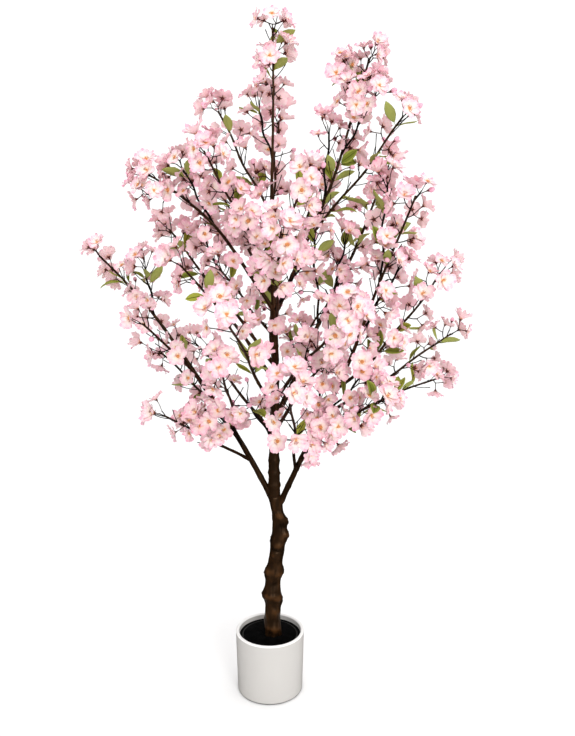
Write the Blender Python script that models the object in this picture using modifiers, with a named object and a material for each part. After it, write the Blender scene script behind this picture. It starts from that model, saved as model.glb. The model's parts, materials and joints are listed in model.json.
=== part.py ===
"""Artificial cherry tree in blossom, standing in a plain round pot.

Metres, +Z up, the flat underside of the pot on Z = 0. The front of the tree looks along -Y.
Every limb is one tapering tube between a fork on its parent and the end of its plume. The part
of a plume near its end carries the blossom, which is one solid of twigs, flowers and leaves.
"""

import math
import random
from typing import NamedTuple

import bmesh
import bpy
import numpy as np
from mathutils import Matrix, Vector
from mathutils.bvhtree import BVHTree

# Pot: a plain cylinder with a slight taper, a small rounded foot and a rounded lip
POT_HEIGHT = 0.178
POT_RIM_RADIUS = 0.097
POT_FOOT_RADIUS = 0.0925
POT_WALL = 0.0095
POT_FLOOR = 0.012
POT_FOOT_ROUND = 0.004
POT_LIP_ROUND = 0.0035
POT_SEGMENTS = 36

# Filler: the dark plug that fills the pot and holds the trunk
FILLER_TOP = 0.163

# Gap kept between pieces that touch
SEAT_GAP = 0.0003

# Trunk: from the filler to the fork
FORK_HEIGHT = 0.575
TRUNK_FOOT_X = 0.0085
TRUNK_LEAN = 0.020
LEAN_FROM = 0.31
LEAN_TO = 0.82
TRUNK_BACK = 0.015
TRUNK_FOOT_RADIUS = 0.0225
TRUNK_TOP_RADIUS = 0.0178
TRUNK_FLARE = 0.005
TRUNK_FLARE_HEIGHT = 0.018
TRUNK_SIDES = 12
TRUNK_RINGS = 25
NECK_HEIGHT = 0.530
NECK_DEPTH = 0.0025
NECK_SPAN = 0.014
KNOT_SPAN = 0.017
KNOT_TURN = 55.0

# Limbs
LIMB_STEP = 0.085
LIMB_SIDES = 6
STEM_SIDES = 4
STEM_LEAD = 0.006
TIP_RADIUS = 0.0018
LEADER_TAPER = 1.95
LIMB_TAPER = 1.25
WOBBLE = 0.005
WOBBLE_PHASE = 10.0
WOBBLE_TURNS_X = 9.0
WOBBLE_TURNS_Y = 11.0
LENGTH_STEPS = 20

# Blossom: larger than life, since there are fewer flowers than on the real tree
FLOWER_RADIUS = 0.031
PETALS = 5
DISH_DEPTH = 0.1
DISH_RISE = 0.30
DISH_THICKNESS = 0.17
HOLD_ASIDE = 0.12
HOLD_DEPTH = 0.13
FLOWER_SIZES = (0.9, 1.08)
PEDICEL_LENGTH = 0.040
PEDICEL_LENGTHS = (0.7, 1.25)
PEDICEL_RADIUS = 0.0010
PEDICEL_ROOT = 0.6
PEDICEL_SHARED = 0.3
LEAF_LENGTH = 0.056
LEAF_WIDTH = 0.024
LEAF_THICKNESS = 0.0028
LEAF_SEAT = 2.0

# Growth of a mass: where flowers and leaves stand on their stem. Angles are in radians, turns go
# round the stem and tilts away from it, and each pair is a least and a most
SIDE_TILT = 1.15
END_TILT = 0.55
FLOWER_TURNS = (-0.5, 0.5)
FLOWER_TILTS = (-0.35, 0.25)
UPWARD_LEAN = 0.15
LEAF_TURNS = (-0.8, 0.8)
LEAF_TILTS = (0.6, 1.2)
LEAF_ROLLS = (-0.3, 0.3)
FLOWER_STEP = 0.0255
LEAST_FLOWERS = 5
LEAF_EVERY = 3
BARE_START = 0.012
BARE_FORK = 0.035
LAST_SIDE_FLOWER = 0.95
END_FLOWERS = 3
FIRST_END_FLOWER = 0.985
END_FLOWER_STEP = 0.012
GOLDEN_ANGLE = math.radians(137.5)
SEED = 41

# Room for a flower or leaf. Each new try turns wider and is a little shorter
TRIES = 14
TRY_WIDER = 0.3
TRY_SHORTER = 0.02
CELL_MARGIN = 0.003
LIMB_CLEARANCE = 0.0012

# Meshes
WELD_DISTANCE = 0.00002
POT_SMOOTH_ANGLE = 40.0
BARK_SMOOTH_ANGLE = 50.0


class Knot(NamedTuple):
    """A swelling on the trunk: its height, the side it faces and how far it stands out."""

    height: float
    azimuth: float
    bulge: float


class Plume(NamedTuple):
    """A limb and the blossom at its end.

    parent and share say where it forks. azimuth (0 is right, 90 is back), reach and height place
    its end. bow lifts its middle. radius is its own at the fork. bare is the share of its length
    without blossom.
    """

    parent: str
    share: float
    azimuth: float
    reach: float
    height: float
    bow: float
    radius: float
    bare: float


KNOTS = (
    Knot(0.205, 150.0, 0.004),
    Knot(0.266, 5.0, 0.007),
    Knot(0.286, 180.0, 0.010),
    Knot(0.292, 280.0, 0.006),
    Knot(0.354, 10.0, 0.007),
    Knot(0.352, 190.0, 0.007),
    Knot(0.400, 95.0, 0.005),
    Knot(0.420, 255.0, 0.004),
    Knot(0.448, 178.0, 0.006),
    Knot(0.462, -5.0, 0.009),
    Knot(0.504, -15.0, 0.008),
    Knot(0.500, 120.0, 0.004),
)

PLUMES = {
    "leader": Plume("trunk", 1.0, 0.0, 0.013, 1.790, 0.0, 0.0165, 0.83),
    "left": Plume("trunk", 0.915, 176.0, 0.450, 1.230, 0.060, 0.0085, 0.50),
    "right": Plume("trunk", 0.91, 337.0, 0.385, 1.375, -0.030, 0.0085, 0.55),
    "left_low": Plume("left", 0.15, 204.0, 0.290, 0.832, 0.000, 0.0042, 0.35),
    "left_inner": Plume("left", 0.24, 247.0, 0.270, 0.985, 0.010, 0.0040, 0.30),
    "left_mid": Plume("left", 0.30, 206.0, 0.340, 1.070, 0.020, 0.0042, 0.35),
    "left_rear": Plume("left", 0.28, 158.0, 0.340, 0.960, 0.010, 0.0040, 0.0),
    "right_front": Plume("right", 0.16, 279.0, 0.355, 0.950, 0.010, 0.0042, 0.28),
    "right_low": Plume("right", 0.20, 321.0, 0.355, 0.895, 0.020, 0.0042, 0.25),
    "right_side": Plume("right", 0.36, 5.0, 0.495, 1.020, -0.005, 0.0045, 0.35),
    "right_rear": Plume("right", 0.30, 14.0, 0.500, 0.885, 0.010, 0.0042, 0.40),
    "right_upper": Plume("right", 0.46, 350.0, 0.440, 1.190, -0.030, 0.0042, 0.30),
    "high_right": Plume("leader", 0.18, 20.0, 0.345, 1.470, -0.020, 0.0078, 0.45),
    "crest": Plume("leader", 0.415, 1.0, 0.255, 1.718, -0.050, 0.0062, 0.42),
    "crest_side": Plume("crest", 0.38, 348.0, 0.340, 1.570, -0.010, 0.0034, 0.0),
    "front_left": Plume("leader", 0.265, 226.0, 0.290, 1.215, 0.015, 0.0050, 0.42),
    "back_left": Plume("leader", 0.30, 155.0, 0.305, 1.300, 0.000, 0.0050, 0.42),
    "high_left": Plume("leader", 0.42, 183.0, 0.305, 1.435, 0.050, 0.0052, 0.40),
    "upper_front": Plume("leader", 0.50, 222.0, 0.200, 1.480, 0.000, 0.0036, 0.0),
    "top_left": Plume("leader", 0.62, 158.0, 0.140, 1.600, 0.000, 0.0032, 0.0),
    "inner_right": Plume("leader", 0.28, 322.0, 0.165, 1.090, 0.000, 0.0034, 0.0),
    "inner_left": Plume("leader", 0.36, 205.0, 0.135, 1.200, 0.000, 0.0034, 0.0),
    "near_right": Plume("leader", 0.55, 305.0, 0.175, 1.410, 0.000, 0.0034, 0.0),
    "front_low": Plume("leader", 0.19, 256.0, 0.370, 1.110, 0.010, 0.0048, 0.36),
    "front_high": Plume("leader", 0.37, 277.0, 0.290, 1.300, 0.010, 0.0044, 0.40),
    "front_right": Plume("leader", 0.225, 300.0, 0.380, 1.110, 0.010, 0.0048, 0.36),
    "rear_left": Plume("leader", 0.14, 128.0, 0.380, 0.960, 0.010, 0.0050, 0.45),
    "rear_right": Plume("leader", 0.15, 52.0, 0.385, 1.000, 0.010, 0.0050, 0.45),
    "rear_mid": Plume("leader", 0.26, 92.0, 0.400, 1.160, 0.010, 0.0050, 0.42),
    "rear_high_left": Plume("leader", 0.455, 120.0, 0.290, 1.410, 0.000, 0.0044, 0.38),
    "rear_high_right": Plume("leader", 0.475, 58.0, 0.300, 1.440, 0.000, 0.0044, 0.38),
    "rear_top": Plume("leader", 0.63, 80.0, 0.150, 1.590, 0.000, 0.0032, 0.0),
}


def clear_scene():
    for item in list(bpy.data.objects):
        bpy.data.objects.remove(item, do_unlink=True)


def make_collection(name):
    group = bpy.data.collections.new(name)
    bpy.context.scene.collection.children.link(group)
    return group


def make_material(name, color, roughness, metallic=0.0):
    material = bpy.data.materials.new(name)
    material.use_nodes = True
    shader = material.node_tree.nodes["Principled BSDF"]
    shader.inputs["Base Color"].default_value = (*color, 1.0)
    shader.inputs["Roughness"].default_value = roughness
    shader.inputs["Metallic"].default_value = metallic
    return material


def pot_material():
    return make_material("white_glaze", (0.86, 0.86, 0.84), 0.25)


def filler_material():
    return make_material("black_filler", (0.02, 0.02, 0.022), 0.85)


def trunk_material():
    return make_material("brown_trunk", (0.085, 0.040, 0.026), 0.50)


def bough_material(name):
    return make_material("brown_" + name, (0.070, 0.034, 0.024), 0.55)


def blossom_material(name, warmth):
    return make_material("pink_" + name, (0.86, 0.50 + 0.06 * warmth, 0.56), 0.75)


def evaluated_mesh(item):
    """The mesh of an object with its modifiers or bevel carried out."""
    bpy.context.view_layer.update()
    graph = bpy.context.evaluated_depsgraph_get()
    return bpy.data.meshes.new_from_object(item.evaluated_get(graph))


def weld(mesh):
    bm = bmesh.new()
    bm.from_mesh(mesh)
    bmesh.ops.remove_doubles(bm, verts=bm.verts[:], dist=WELD_DISTANCE)
    bmesh.ops.recalc_face_normals(bm, faces=bm.faces[:])
    bm.to_mesh(mesh)
    bm.free()
    return mesh


def shell_volume(faces):
    """Volume enclosed by joined faces, negative for a hollow."""
    volume = 0.0
    for face in faces:
        corners = [vertex.co for vertex in face.verts]
        for second, third in zip(corners[1:], corners[2:]):
            volume += corners[0].dot(second.cross(third)) / 6.0
    return volume


def keep_main_shell(mesh):
    """Fills sealed hollows and drops loose scraps: only the largest closed shell stays."""
    bm = bmesh.new()
    bm.from_mesh(mesh)
    waiting = set(bm.faces)
    shells = []
    while waiting:
        frontier = [waiting.pop()]
        shell = []
        while frontier:
            face = frontier.pop()
            shell.append(face)
            for edge in face.edges:
                for neighbour in edge.link_faces:
                    if neighbour in waiting:
                        waiting.remove(neighbour)
                        frontier.append(neighbour)
        shells.append(shell)
    shells.sort(key=shell_volume)
    for shell in shells[:-1]:
        bmesh.ops.delete(bm, geom=shell, context="FACES")
    bm.to_mesh(mesh)
    bm.free()
    return mesh


def add_object(name, mesh, group):
    item = bpy.data.objects.new(name, mesh)
    group.objects.link(item)
    return item


def finish(item, material, smooth_angle=None):
    """Names the mesh after its object, gives it its one material and smooths round pieces."""
    item.data.name = item.name
    item.data.materials.clear()
    item.data.materials.append(material)
    if smooth_angle is not None:
        item.data.shade_smooth()
        item.data.set_sharp_from_angle(angle=math.radians(smooth_angle))
    return item


def turned_mesh(name, profile, segments):
    """Turns a profile of (radius, height) points, both ends on the axis, once round Z."""
    mesh = bpy.data.meshes.new(name)
    bm = bmesh.new()
    points = [bm.verts.new((radius, 0.0, height)) for radius, height in profile]
    for first, second in zip(points, points[1:]):
        bm.edges.new((first, second))
    bm.to_mesh(mesh)
    bm.free()
    item = bpy.data.objects.new(name, mesh)
    bpy.context.scene.collection.objects.link(item)
    screw = item.modifiers.new("turn", "SCREW")
    screw.axis = "Z"
    screw.angle = 2.0 * math.pi
    screw.steps = segments
    screw.render_steps = segments
    screw.use_merge_vertices = True
    screw.merge_threshold = 0.00005
    screw.use_normal_calculate = True
    result = evaluated_mesh(item)
    bpy.data.objects.remove(item, do_unlink=True)
    return weld(result)


def rounded(corner, before, after, radius, steps=2):
    """Points of a small round between two straight runs of a profile."""
    corner_v = Vector(corner)
    start = corner_v + (Vector(before) - corner_v).normalized() * radius
    end = corner_v + (Vector(after) - corner_v).normalized() * radius
    points = []
    for i in range(steps + 1):
        t = i / steps
        point = start * (1 - t) ** 2 + corner_v * 2 * t * (1 - t) + end * t * t
        points.append((point.x, point.y))
    return points


def inner_radius(height):
    """Radius of the pot's inner wall at a height."""
    share = height / POT_HEIGHT
    return POT_FOOT_RADIUS + (POT_RIM_RADIUS - POT_FOOT_RADIUS) * share - POT_WALL


def build_pot(group):
    foot = (POT_FOOT_RADIUS, 0.0)
    rim_out = (POT_RIM_RADIUS, POT_HEIGHT)
    rim_in = (inner_radius(POT_HEIGHT), POT_HEIGHT)
    floor_edge = (inner_radius(POT_FLOOR), POT_FLOOR)
    profile = [(0.0, POT_FLOOR), floor_edge]
    profile += rounded(rim_in, floor_edge, rim_out, POT_LIP_ROUND)
    profile += rounded(rim_out, rim_in, foot, POT_LIP_ROUND)
    profile += rounded(foot, rim_out, (0.0, 0.0), POT_FOOT_ROUND)
    profile += [(0.0, 0.0)]
    pot = add_object("pot", turned_mesh("pot", profile, POT_SEGMENTS), group)
    return finish(pot, pot_material(), POT_SMOOTH_ANGLE)


def build_filler(group):
    low = POT_FLOOR + SEAT_GAP
    gap = SEAT_GAP / math.cos(math.pi / POT_SEGMENTS)
    profile = [
        (0.0, FILLER_TOP),
        (inner_radius(FILLER_TOP) - gap, FILLER_TOP),
        (inner_radius(low) - gap, low),
        (0.0, low),
    ]
    filler = add_object("filler", turned_mesh("filler", profile, POT_SEGMENTS), group)
    return finish(filler, filler_material(), POT_SMOOTH_ANGLE)


def bell(distance, span):
    return math.exp(-((distance / span) ** 2))


def trunk_axis(share):
    """Centre of the trunk, from its foot (0) to the fork (1). It leans and then comes back."""
    low = FILLER_TOP + SEAT_GAP
    height = low + (FORK_HEIGHT - low) * share
    part = min(1.0, max(0.0, (share - LEAN_FROM) / (LEAN_TO - LEAN_FROM)))
    lean = TRUNK_LEAN * 0.5 * (1.0 - math.cos(math.pi * part))
    back = TRUNK_BACK * max(0.0, share - LEAN_TO) / (1.0 - LEAN_TO)
    return Vector((TRUNK_FOOT_X + lean - back, 0.0, height))


def trunk_radius(height, angle):
    """Radius of the trunk at a height and a direction round it, with its knots and flare."""
    low = FILLER_TOP + SEAT_GAP
    share = (height - low) / (FORK_HEIGHT - low)
    radius = TRUNK_FOOT_RADIUS + (TRUNK_TOP_RADIUS - TRUNK_FOOT_RADIUS) * share
    radius += TRUNK_FLARE * math.exp(-(height - low) / TRUNK_FLARE_HEIGHT)
    radius -= NECK_DEPTH * bell(height - NECK_HEIGHT, NECK_SPAN)
    for knot in KNOTS:
        turn = math.remainder(angle - math.radians(knot.azimuth), 2.0 * math.pi)
        side = bell(turn, math.radians(KNOT_TURN))
        radius += knot.bulge * side * bell(height - knot.height, KNOT_SPAN)
    return radius


def tube_mesh(name, points, radii, sides):
    """A tube along points with a radius at each, closed by a flat face at both ends."""
    curve = bpy.data.curves.new(name, "CURVE")
    curve.dimensions = "3D"
    spline = curve.splines.new("POLY")
    spline.points.add(len(points) - 1)
    for slot, point, radius in zip(spline.points, points, radii):
        slot.co = (*point, 1.0)
        slot.radius = radius
    curve.bevel_depth = 1.0
    curve.bevel_resolution = (sides - 4) // 2
    curve.use_fill_caps = True
    item = bpy.data.objects.new(name, curve)
    bpy.context.scene.collection.objects.link(item)
    mesh = evaluated_mesh(item)
    bpy.data.objects.remove(item, do_unlink=True)
    bpy.data.curves.remove(curve)
    return weld(mesh)


def trunk_mesh(extra=0.0):
    """The trunk: an upright tube whose rings are then pushed out to the knots and the flare."""
    shares = [i / TRUNK_RINGS for i in range(TRUNK_RINGS + 1)]
    points = [trunk_axis(share) for share in shares]
    mesh = tube_mesh("trunk", points, [0.01] * len(points), TRUNK_SIDES)
    low = points[0].z
    for vertex in mesh.vertices:
        share = (vertex.co.z - low) / (FORK_HEIGHT - low)
        nearest = min(range(len(shares)), key=lambda i: abs(shares[i] - share))
        axis = points[nearest]
        out = vertex.co - axis
        angle = math.atan2(out.y, out.x)
        radius = trunk_radius(axis.z, angle) + extra
        vertex.co = axis + Vector((math.cos(angle) * radius, math.sin(angle) * radius, 0.0))
        if nearest == TRUNK_RINGS:
            vertex.co.z += extra
    return mesh


def build_trunk(group):
    trunk = add_object("trunk", trunk_mesh(), group)
    return finish(trunk, trunk_material(), BARK_SMOOTH_ANGLE)


def plume_start(plume):
    if plume.parent == "trunk":
        return trunk_axis(plume.share)
    return plume_point(plume.parent, plume.share)


def plume_point(name, share):
    """A point along a plume: an arc from the fork to the end, with a slight wobble."""
    plume = PLUMES[name]
    start = plume_start(plume)
    turn = math.radians(plume.azimuth)
    end = Vector((plume.reach * math.cos(turn), plume.reach * math.sin(turn), plume.height))
    middle = (start + end) / 2 + Vector((0.0, 0.0, 2.0 * plume.bow))
    point = start * (1 - share) ** 2 + middle * 2 * share * (1 - share) + end * share**2
    phase = WOBBLE_PHASE * (plume.azimuth + plume.height)
    swing = WOBBLE * math.sin(math.pi * share)
    point.x += swing * math.sin(WOBBLE_TURNS_X * share + phase)
    point.y += swing * math.cos(WOBBLE_TURNS_Y * share + phase)
    return point


def plume_radius(name, share):
    plume = PLUMES[name]
    power = LEADER_TAPER if name == "leader" else LIMB_TAPER
    return TIP_RADIUS + (plume.radius - TIP_RADIUS) * (1.0 - share) ** power


def plume_length(name):
    points = [plume_point(name, i / LENGTH_STEPS) for i in range(LENGTH_STEPS + 1)]
    return sum((b - a).length for a, b in zip(points, points[1:]))


def plume_shares(name, first, last):
    """Evenly spaced shares of a plume's length, where its tube has its rings."""
    count = max(2, round(plume_length(name) * (last - first) / LIMB_STEP)) + 1
    return [first + (last - first) * i / (count - 1) for i in range(count)]


def plume_line(name, first, last):
    """Points and radii of the stretch of a plume between two shares of its length."""
    shares = plume_shares(name, first, last)
    points = [plume_point(name, share) for share in shares]
    return points, [plume_radius(name, share) for share in shares]


def bough_mesh(name, extra=0.0):
    points, radii = plume_line(name, 0.0, PLUMES[name].bare)
    return tube_mesh(name, points, [radius + extra for radius in radii], LIMB_SIDES)


def stem_line(name):
    """The stem of a mass. It starts square to the end of its bough, a gap clear of it."""
    bare = PLUMES[name].bare
    points, radii = plume_line(name, bare, 1.0)
    if bare > 0.0:
        before, end = plume_line(name, 0.0, bare)[0][-2:]
        along = (end - before).normalized()
        points[0] = end + along * SEAT_GAP
        points.insert(1, end + along * STEM_LEAD)
        radii.insert(1, radii[0])
    return points, radii


def inflated(name, by):
    """A copy of a limb or the trunk that stands out from it by a distance on every side."""
    if name == "trunk":
        return trunk_mesh(by)
    return bough_mesh(name, by / math.cos(math.pi / LIMB_SIDES))


def cut_away(item, meshes, cutters):
    """Takes other shapes out of a piece with Boolean differences."""
    for number, mesh in enumerate(meshes):
        cutter = add_object("cutter_" + item.name + str(number), mesh, cutters)
        cutter.hide_render = True
        cutter.display_type = "WIRE"
        boolean = item.modifiers.new("seat", "BOOLEAN")
        boolean.operation = "DIFFERENCE"
        boolean.solver = "EXACT"
        boolean.object = cutter
        result = evaluated_mesh(item)
        item.modifiers.clear()
        item.data = keep_main_shell(weld(result))
        bpy.data.objects.remove(cutter, do_unlink=True)
    return item


def limbs_to_clear(name):
    """The limbs a new one is cut back from at its fork: its parent and those round the fork."""
    parent = PLUMES[name].parent
    if parent == "trunk":
        return ["trunk"] if name == "leader" else ["trunk", "leader"]
    return [parent]


def build_bough(name, group, cutters):
    label = name if name == "leader" else "bough_" + name
    bough = add_object(label, bough_mesh(name), group)
    if name == "leader":
        for vertex in bough.data.vertices:
            if vertex.co.z < FORK_HEIGHT + SEAT_GAP:
                vertex.co.z = FORK_HEIGHT + SEAT_GAP
    else:
        cut_away(bough, [inflated(other, SEAT_GAP) for other in limbs_to_clear(name)], cutters)
    return finish(bough, bough_material(label), BARK_SMOOTH_ANGLE)


def frame_along(direction):
    """A turn that carries +Z onto a direction."""
    return Vector((0.0, 0.0, 1.0)).rotation_difference(direction).to_matrix().to_4x4()


def cone_mesh(name, start, end, radius_start, radius_end):
    """A three-sided tapering twig."""
    bm = bmesh.new()
    along = end - start
    place = Matrix.Translation((start + end) / 2) @ frame_along(along.normalized())
    bmesh.ops.create_cone(
        bm,
        cap_ends=True,
        segments=3,
        radius1=radius_start,
        radius2=radius_end,
        depth=along.length,
        matrix=place,
    )
    mesh = bpy.data.meshes.new(name)
    bm.to_mesh(mesh)
    bm.free()
    return mesh


def flower_mesh(name, back, place, radius):
    """A shallow dish with a petal at each corner. place is the turn it is set at."""
    bm = bmesh.new()
    bmesh.ops.create_cone(
        bm, cap_ends=True, segments=PETALS, radius1=1.0, radius2=0.0, depth=DISH_DEPTH
    )
    cap = [face for face in bm.faces if len(face.verts) == PETALS]
    hub = bmesh.ops.poke(bm, faces=cap)["verts"][0]
    hub.co.z -= DISH_RISE
    for vertex in bm.verts:
        if vertex.co.z > 0.0:
            vertex.co.z = DISH_THICKNESS - DISH_RISE - 0.5 * DISH_DEPTH
    shift = Vector((0.0, 0.0, DISH_RISE + 0.5 * DISH_DEPTH))
    bm.transform(Matrix.Translation(back) @ place @ Matrix.Scale(radius, 4) @ Matrix.Translation(shift))
    bm.normal_update()
    bmesh.ops.recalc_face_normals(bm, faces=bm.faces[:])
    mesh = bpy.data.meshes.new(name)
    bm.to_mesh(mesh)
    bm.free()
    return mesh


def leaf_mesh(name, root, direction, side):
    """A flat pointed oval of eight faces that starts at its root."""
    bm = bmesh.new()
    bmesh.ops.create_uvsphere(bm, u_segments=4, v_segments=2, radius=0.5)
    normal = direction.cross(side).normalized()
    across = normal.cross(direction).normalized()
    for vertex in bm.verts:
        along = (vertex.co.z + 0.5) * LEAF_LENGTH
        wide = vertex.co.x * LEAF_WIDTH
        thick = vertex.co.y * LEAF_THICKNESS
        vertex.co = root + direction * along + across * wide + normal * thick
    mesh = bpy.data.meshes.new(name)
    bm.to_mesh(mesh)
    bm.free()
    return mesh


def mesh_tree(mesh):
    points = [vertex.co.copy() for vertex in mesh.vertices]
    faces = [tuple(face.vertices) for face in mesh.polygons]
    return BVHTree.FromPolygons(points, faces)


class Crown:
    """Knows the limbs and the space of each mass, and says whether a twig or flower fits."""

    def __init__(self):
        self.limb_trees = [mesh_tree(inflated("trunk", LIMB_CLEARANCE))]
        for name, plume in PLUMES.items():
            if plume.bare > 0.0:
                self.limb_trees.append(mesh_tree(inflated(name, LIMB_CLEARANCE)))
        starts = []
        ends = []
        owners = []
        for number, name in enumerate(PLUMES):
            points = [np.array(point) for point in stem_line(name)[0]]
            starts += points[:-1]
            ends += points[1:]
            owners += [number] * (len(points) - 1)
        self.starts = np.array(starts)
        self.along = np.array(ends) - self.starts
        self.squares = (self.along**2).sum(axis=1)
        self.owners = np.array(owners)
        self.numbers = {name: number for number, name in enumerate(PLUMES)}

    def in_cell(self, name, points):
        """True where every point is nearer to this mass's stem than to any other stem."""
        own = self.owners == self.numbers[name]
        for point in points:
            offset = np.array(point) - self.starts
            share = np.clip((offset * self.along).sum(axis=1) / self.squares, 0.0, 1.0)
            gaps = np.linalg.norm(offset - share[:, None] * self.along, axis=1)
            if gaps[own].min() + CELL_MARGIN > gaps[~own].min():
                return False
        return True

    def clear_of_limbs(self, tree):
        return not any(tree.overlap(limb) for limb in self.limb_trees)

    def fits(self, name, mesh, taken):
        points = [vertex.co for vertex in mesh.vertices]
        if not self.in_cell(name, points):
            return False
        tree = mesh_tree(mesh)
        if not self.clear_of_limbs(tree):
            return False
        return not any(tree.overlap(other) for other in taken)


def spread(direction, turn, tilt):
    """A direction tilted away from another one, towards a side given by a turn round it."""
    side = direction.orthogonal().normalized()
    other = direction.cross(side)
    out = side * math.cos(turn) + other * math.sin(turn)
    return (direction * math.cos(tilt) + out * math.sin(tilt)).normalized()


def grow_flower(crown, name, rng, root, turn, tilt, taken):
    """One flower on its pedicel, or nothing where no try fits.

    The first part of a pedicel may meet its neighbours', since they share a root.
    """
    anchor, axis, thickness = root
    for attempt in range(TRIES):
        turn_now = turn + rng.uniform(*FLOWER_TURNS) * (1 + TRY_WIDER * attempt)
        tilt_now = tilt + rng.uniform(*FLOWER_TILTS)
        length = PEDICEL_LENGTH * rng.uniform(*PEDICEL_LENGTHS) * (1 - TRY_SHORTER * attempt)
        direction = spread(axis, turn_now, tilt_now)
        facing = (direction + Vector((0.0, 0.0, UPWARD_LEAN))).normalized()
        place = frame_along(facing)
        tip = anchor + direction * length
        radius = FLOWER_RADIUS * rng.uniform(*FLOWER_SIZES)
        half_petal = math.pi / PETALS
        aside = Vector((math.cos(half_petal), math.sin(half_petal), 0.0)) * HOLD_ASIDE
        back = tip - place @ ((aside + Vector((0.0, 0.0, HOLD_DEPTH))) * radius)
        flower = flower_mesh("flower", back, place, radius)
        pedicel = cone_mesh("pedicel", anchor, tip, PEDICEL_ROOT * thickness, PEDICEL_RADIUS)
        free_from = anchor.lerp(tip, PEDICEL_SHARED)
        free = cone_mesh("free", free_from, tip, PEDICEL_RADIUS, PEDICEL_RADIUS)
        if crown.fits(name, flower, taken) and crown.fits(name, free, taken):
            taken.append(mesh_tree(flower))
            taken.append(mesh_tree(free))
            return [pedicel, flower]
    return []


def grow_leaf(crown, name, rng, root, turn, taken):
    """One leaf, or nothing where no try fits."""
    anchor, axis, thickness = root
    for attempt in range(TRIES):
        turn_now = turn + rng.uniform(*LEAF_TURNS)
        direction = spread(axis, turn_now, rng.uniform(*LEAF_TILTS))
        side = Vector((rng.uniform(-1, 1), rng.uniform(-1, 1), rng.uniform(*LEAF_ROLLS)))
        leaf = leaf_mesh("leaf", anchor, direction, side)
        start = anchor + direction * (LEAF_SEAT * thickness)
        blade = leaf_mesh("blade", start, direction, side)
        if crown.fits(name, blade, taken):
            taken.append(mesh_tree(blade))
            return [leaf]
    return []


def stem_point(line, share):
    """A point on the straight runs of a stem, the way the stem points there and its radius."""
    points, radii = line
    lengths = [(b - a).length for a, b in zip(points, points[1:])]
    left = share * sum(lengths)
    for number, length in enumerate(lengths):
        if left <= length:
            break
        left -= length
    start, end = points[number : number + 2]
    part = min(1.0, left / length)
    radius = radii[number] * (1.0 - part) + radii[number + 1] * part
    return start.lerp(end, part), (end - start).normalized(), radius


def grow_mass(crown, name):
    """The stem of a mass and all that grows on it, as separate closed meshes."""
    rng = random.Random(SEED + 100 * list(PLUMES).index(name))
    line = stem_line(name)
    stem = tube_mesh(name, line[0], line[1], STEM_SIDES)
    length = sum((b - a).length for a, b in zip(line[0], line[0][1:]))
    bottom = (BARE_START if PLUMES[name].bare > 0.0 else BARE_FORK) / length
    count = max(LEAST_FLOWERS, round(length * (1.0 - bottom) / FLOWER_STEP))
    pieces = []
    taken = []
    turn = rng.uniform(0.0, 2.0 * math.pi)
    for number in range(count):
        share = bottom + (LAST_SIDE_FLOWER - bottom) * (number + 0.5) / count
        turn += GOLDEN_ANGLE
        root = stem_point(line, share)
        pieces += grow_flower(crown, name, rng, root, turn, SIDE_TILT, taken)
        if number % LEAF_EVERY == 1:
            pieces += grow_leaf(crown, name, rng, root, turn + math.pi, taken)
    for number in range(END_FLOWERS):
        root = stem_point(line, FIRST_END_FLOWER - END_FLOWER_STEP * number)
        turn += 2.0 * math.pi / END_FLOWERS
        pieces += grow_flower(crown, name, rng, root, turn, END_TILT, taken)
    return stem, pieces


def fuse(item, pieces, group):
    """Joins meshes onto a piece with one Boolean union on a collection."""
    for number, mesh in enumerate(pieces):
        add_object("twig" + str(number), mesh, group)
    boolean = item.modifiers.new("fuse", "BOOLEAN")
    boolean.operation = "UNION"
    boolean.operand_type = "COLLECTION"
    boolean.collection = group
    boolean.solver = "MANIFOLD"
    result = evaluated_mesh(item)
    item.modifiers.clear()
    item.data = keep_main_shell(result)
    for twig in list(group.objects):
        bpy.data.objects.remove(twig, do_unlink=True)
    return item


def build_mass(name, crown, group, cutters):
    stem, pieces = grow_mass(crown, name)
    mass = add_object("blossom_" + name, stem, group)
    if PLUMES[name].bare == 0.0:
        cut_away(mass, [inflated(PLUMES[name].parent, SEAT_GAP)], cutters)
    fuse(mass, pieces, cutters)
    warmth = random.Random(name).random()
    return finish(mass, blossom_material(name, warmth))


def main():
    clear_scene()
    group = make_collection("artificial_cherry_tree_in_pot")
    cutters = make_collection("cutters")
    build_pot(group)
    build_filler(group)
    build_trunk(group)
    for name, plume in PLUMES.items():
        if plume.bare > 0.0:
            build_bough(name, group, cutters)
    crown = Crown()
    for name in PLUMES:
        build_mass(name, crown, group, cutters)


if __name__ == "__main__":
    main()
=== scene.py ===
"""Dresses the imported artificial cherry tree: glazed pot, filler, moulded bark, twigs, blossom, leaves.

Metres, +Z up. Azimuth 0 is to the right of the tree's front, and 90 is behind it.
"""

import functools
import json
import math
import random
from typing import NamedTuple

import bpy
import numpy as np
from mathutils import Matrix, Vector, kdtree, noise

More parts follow.
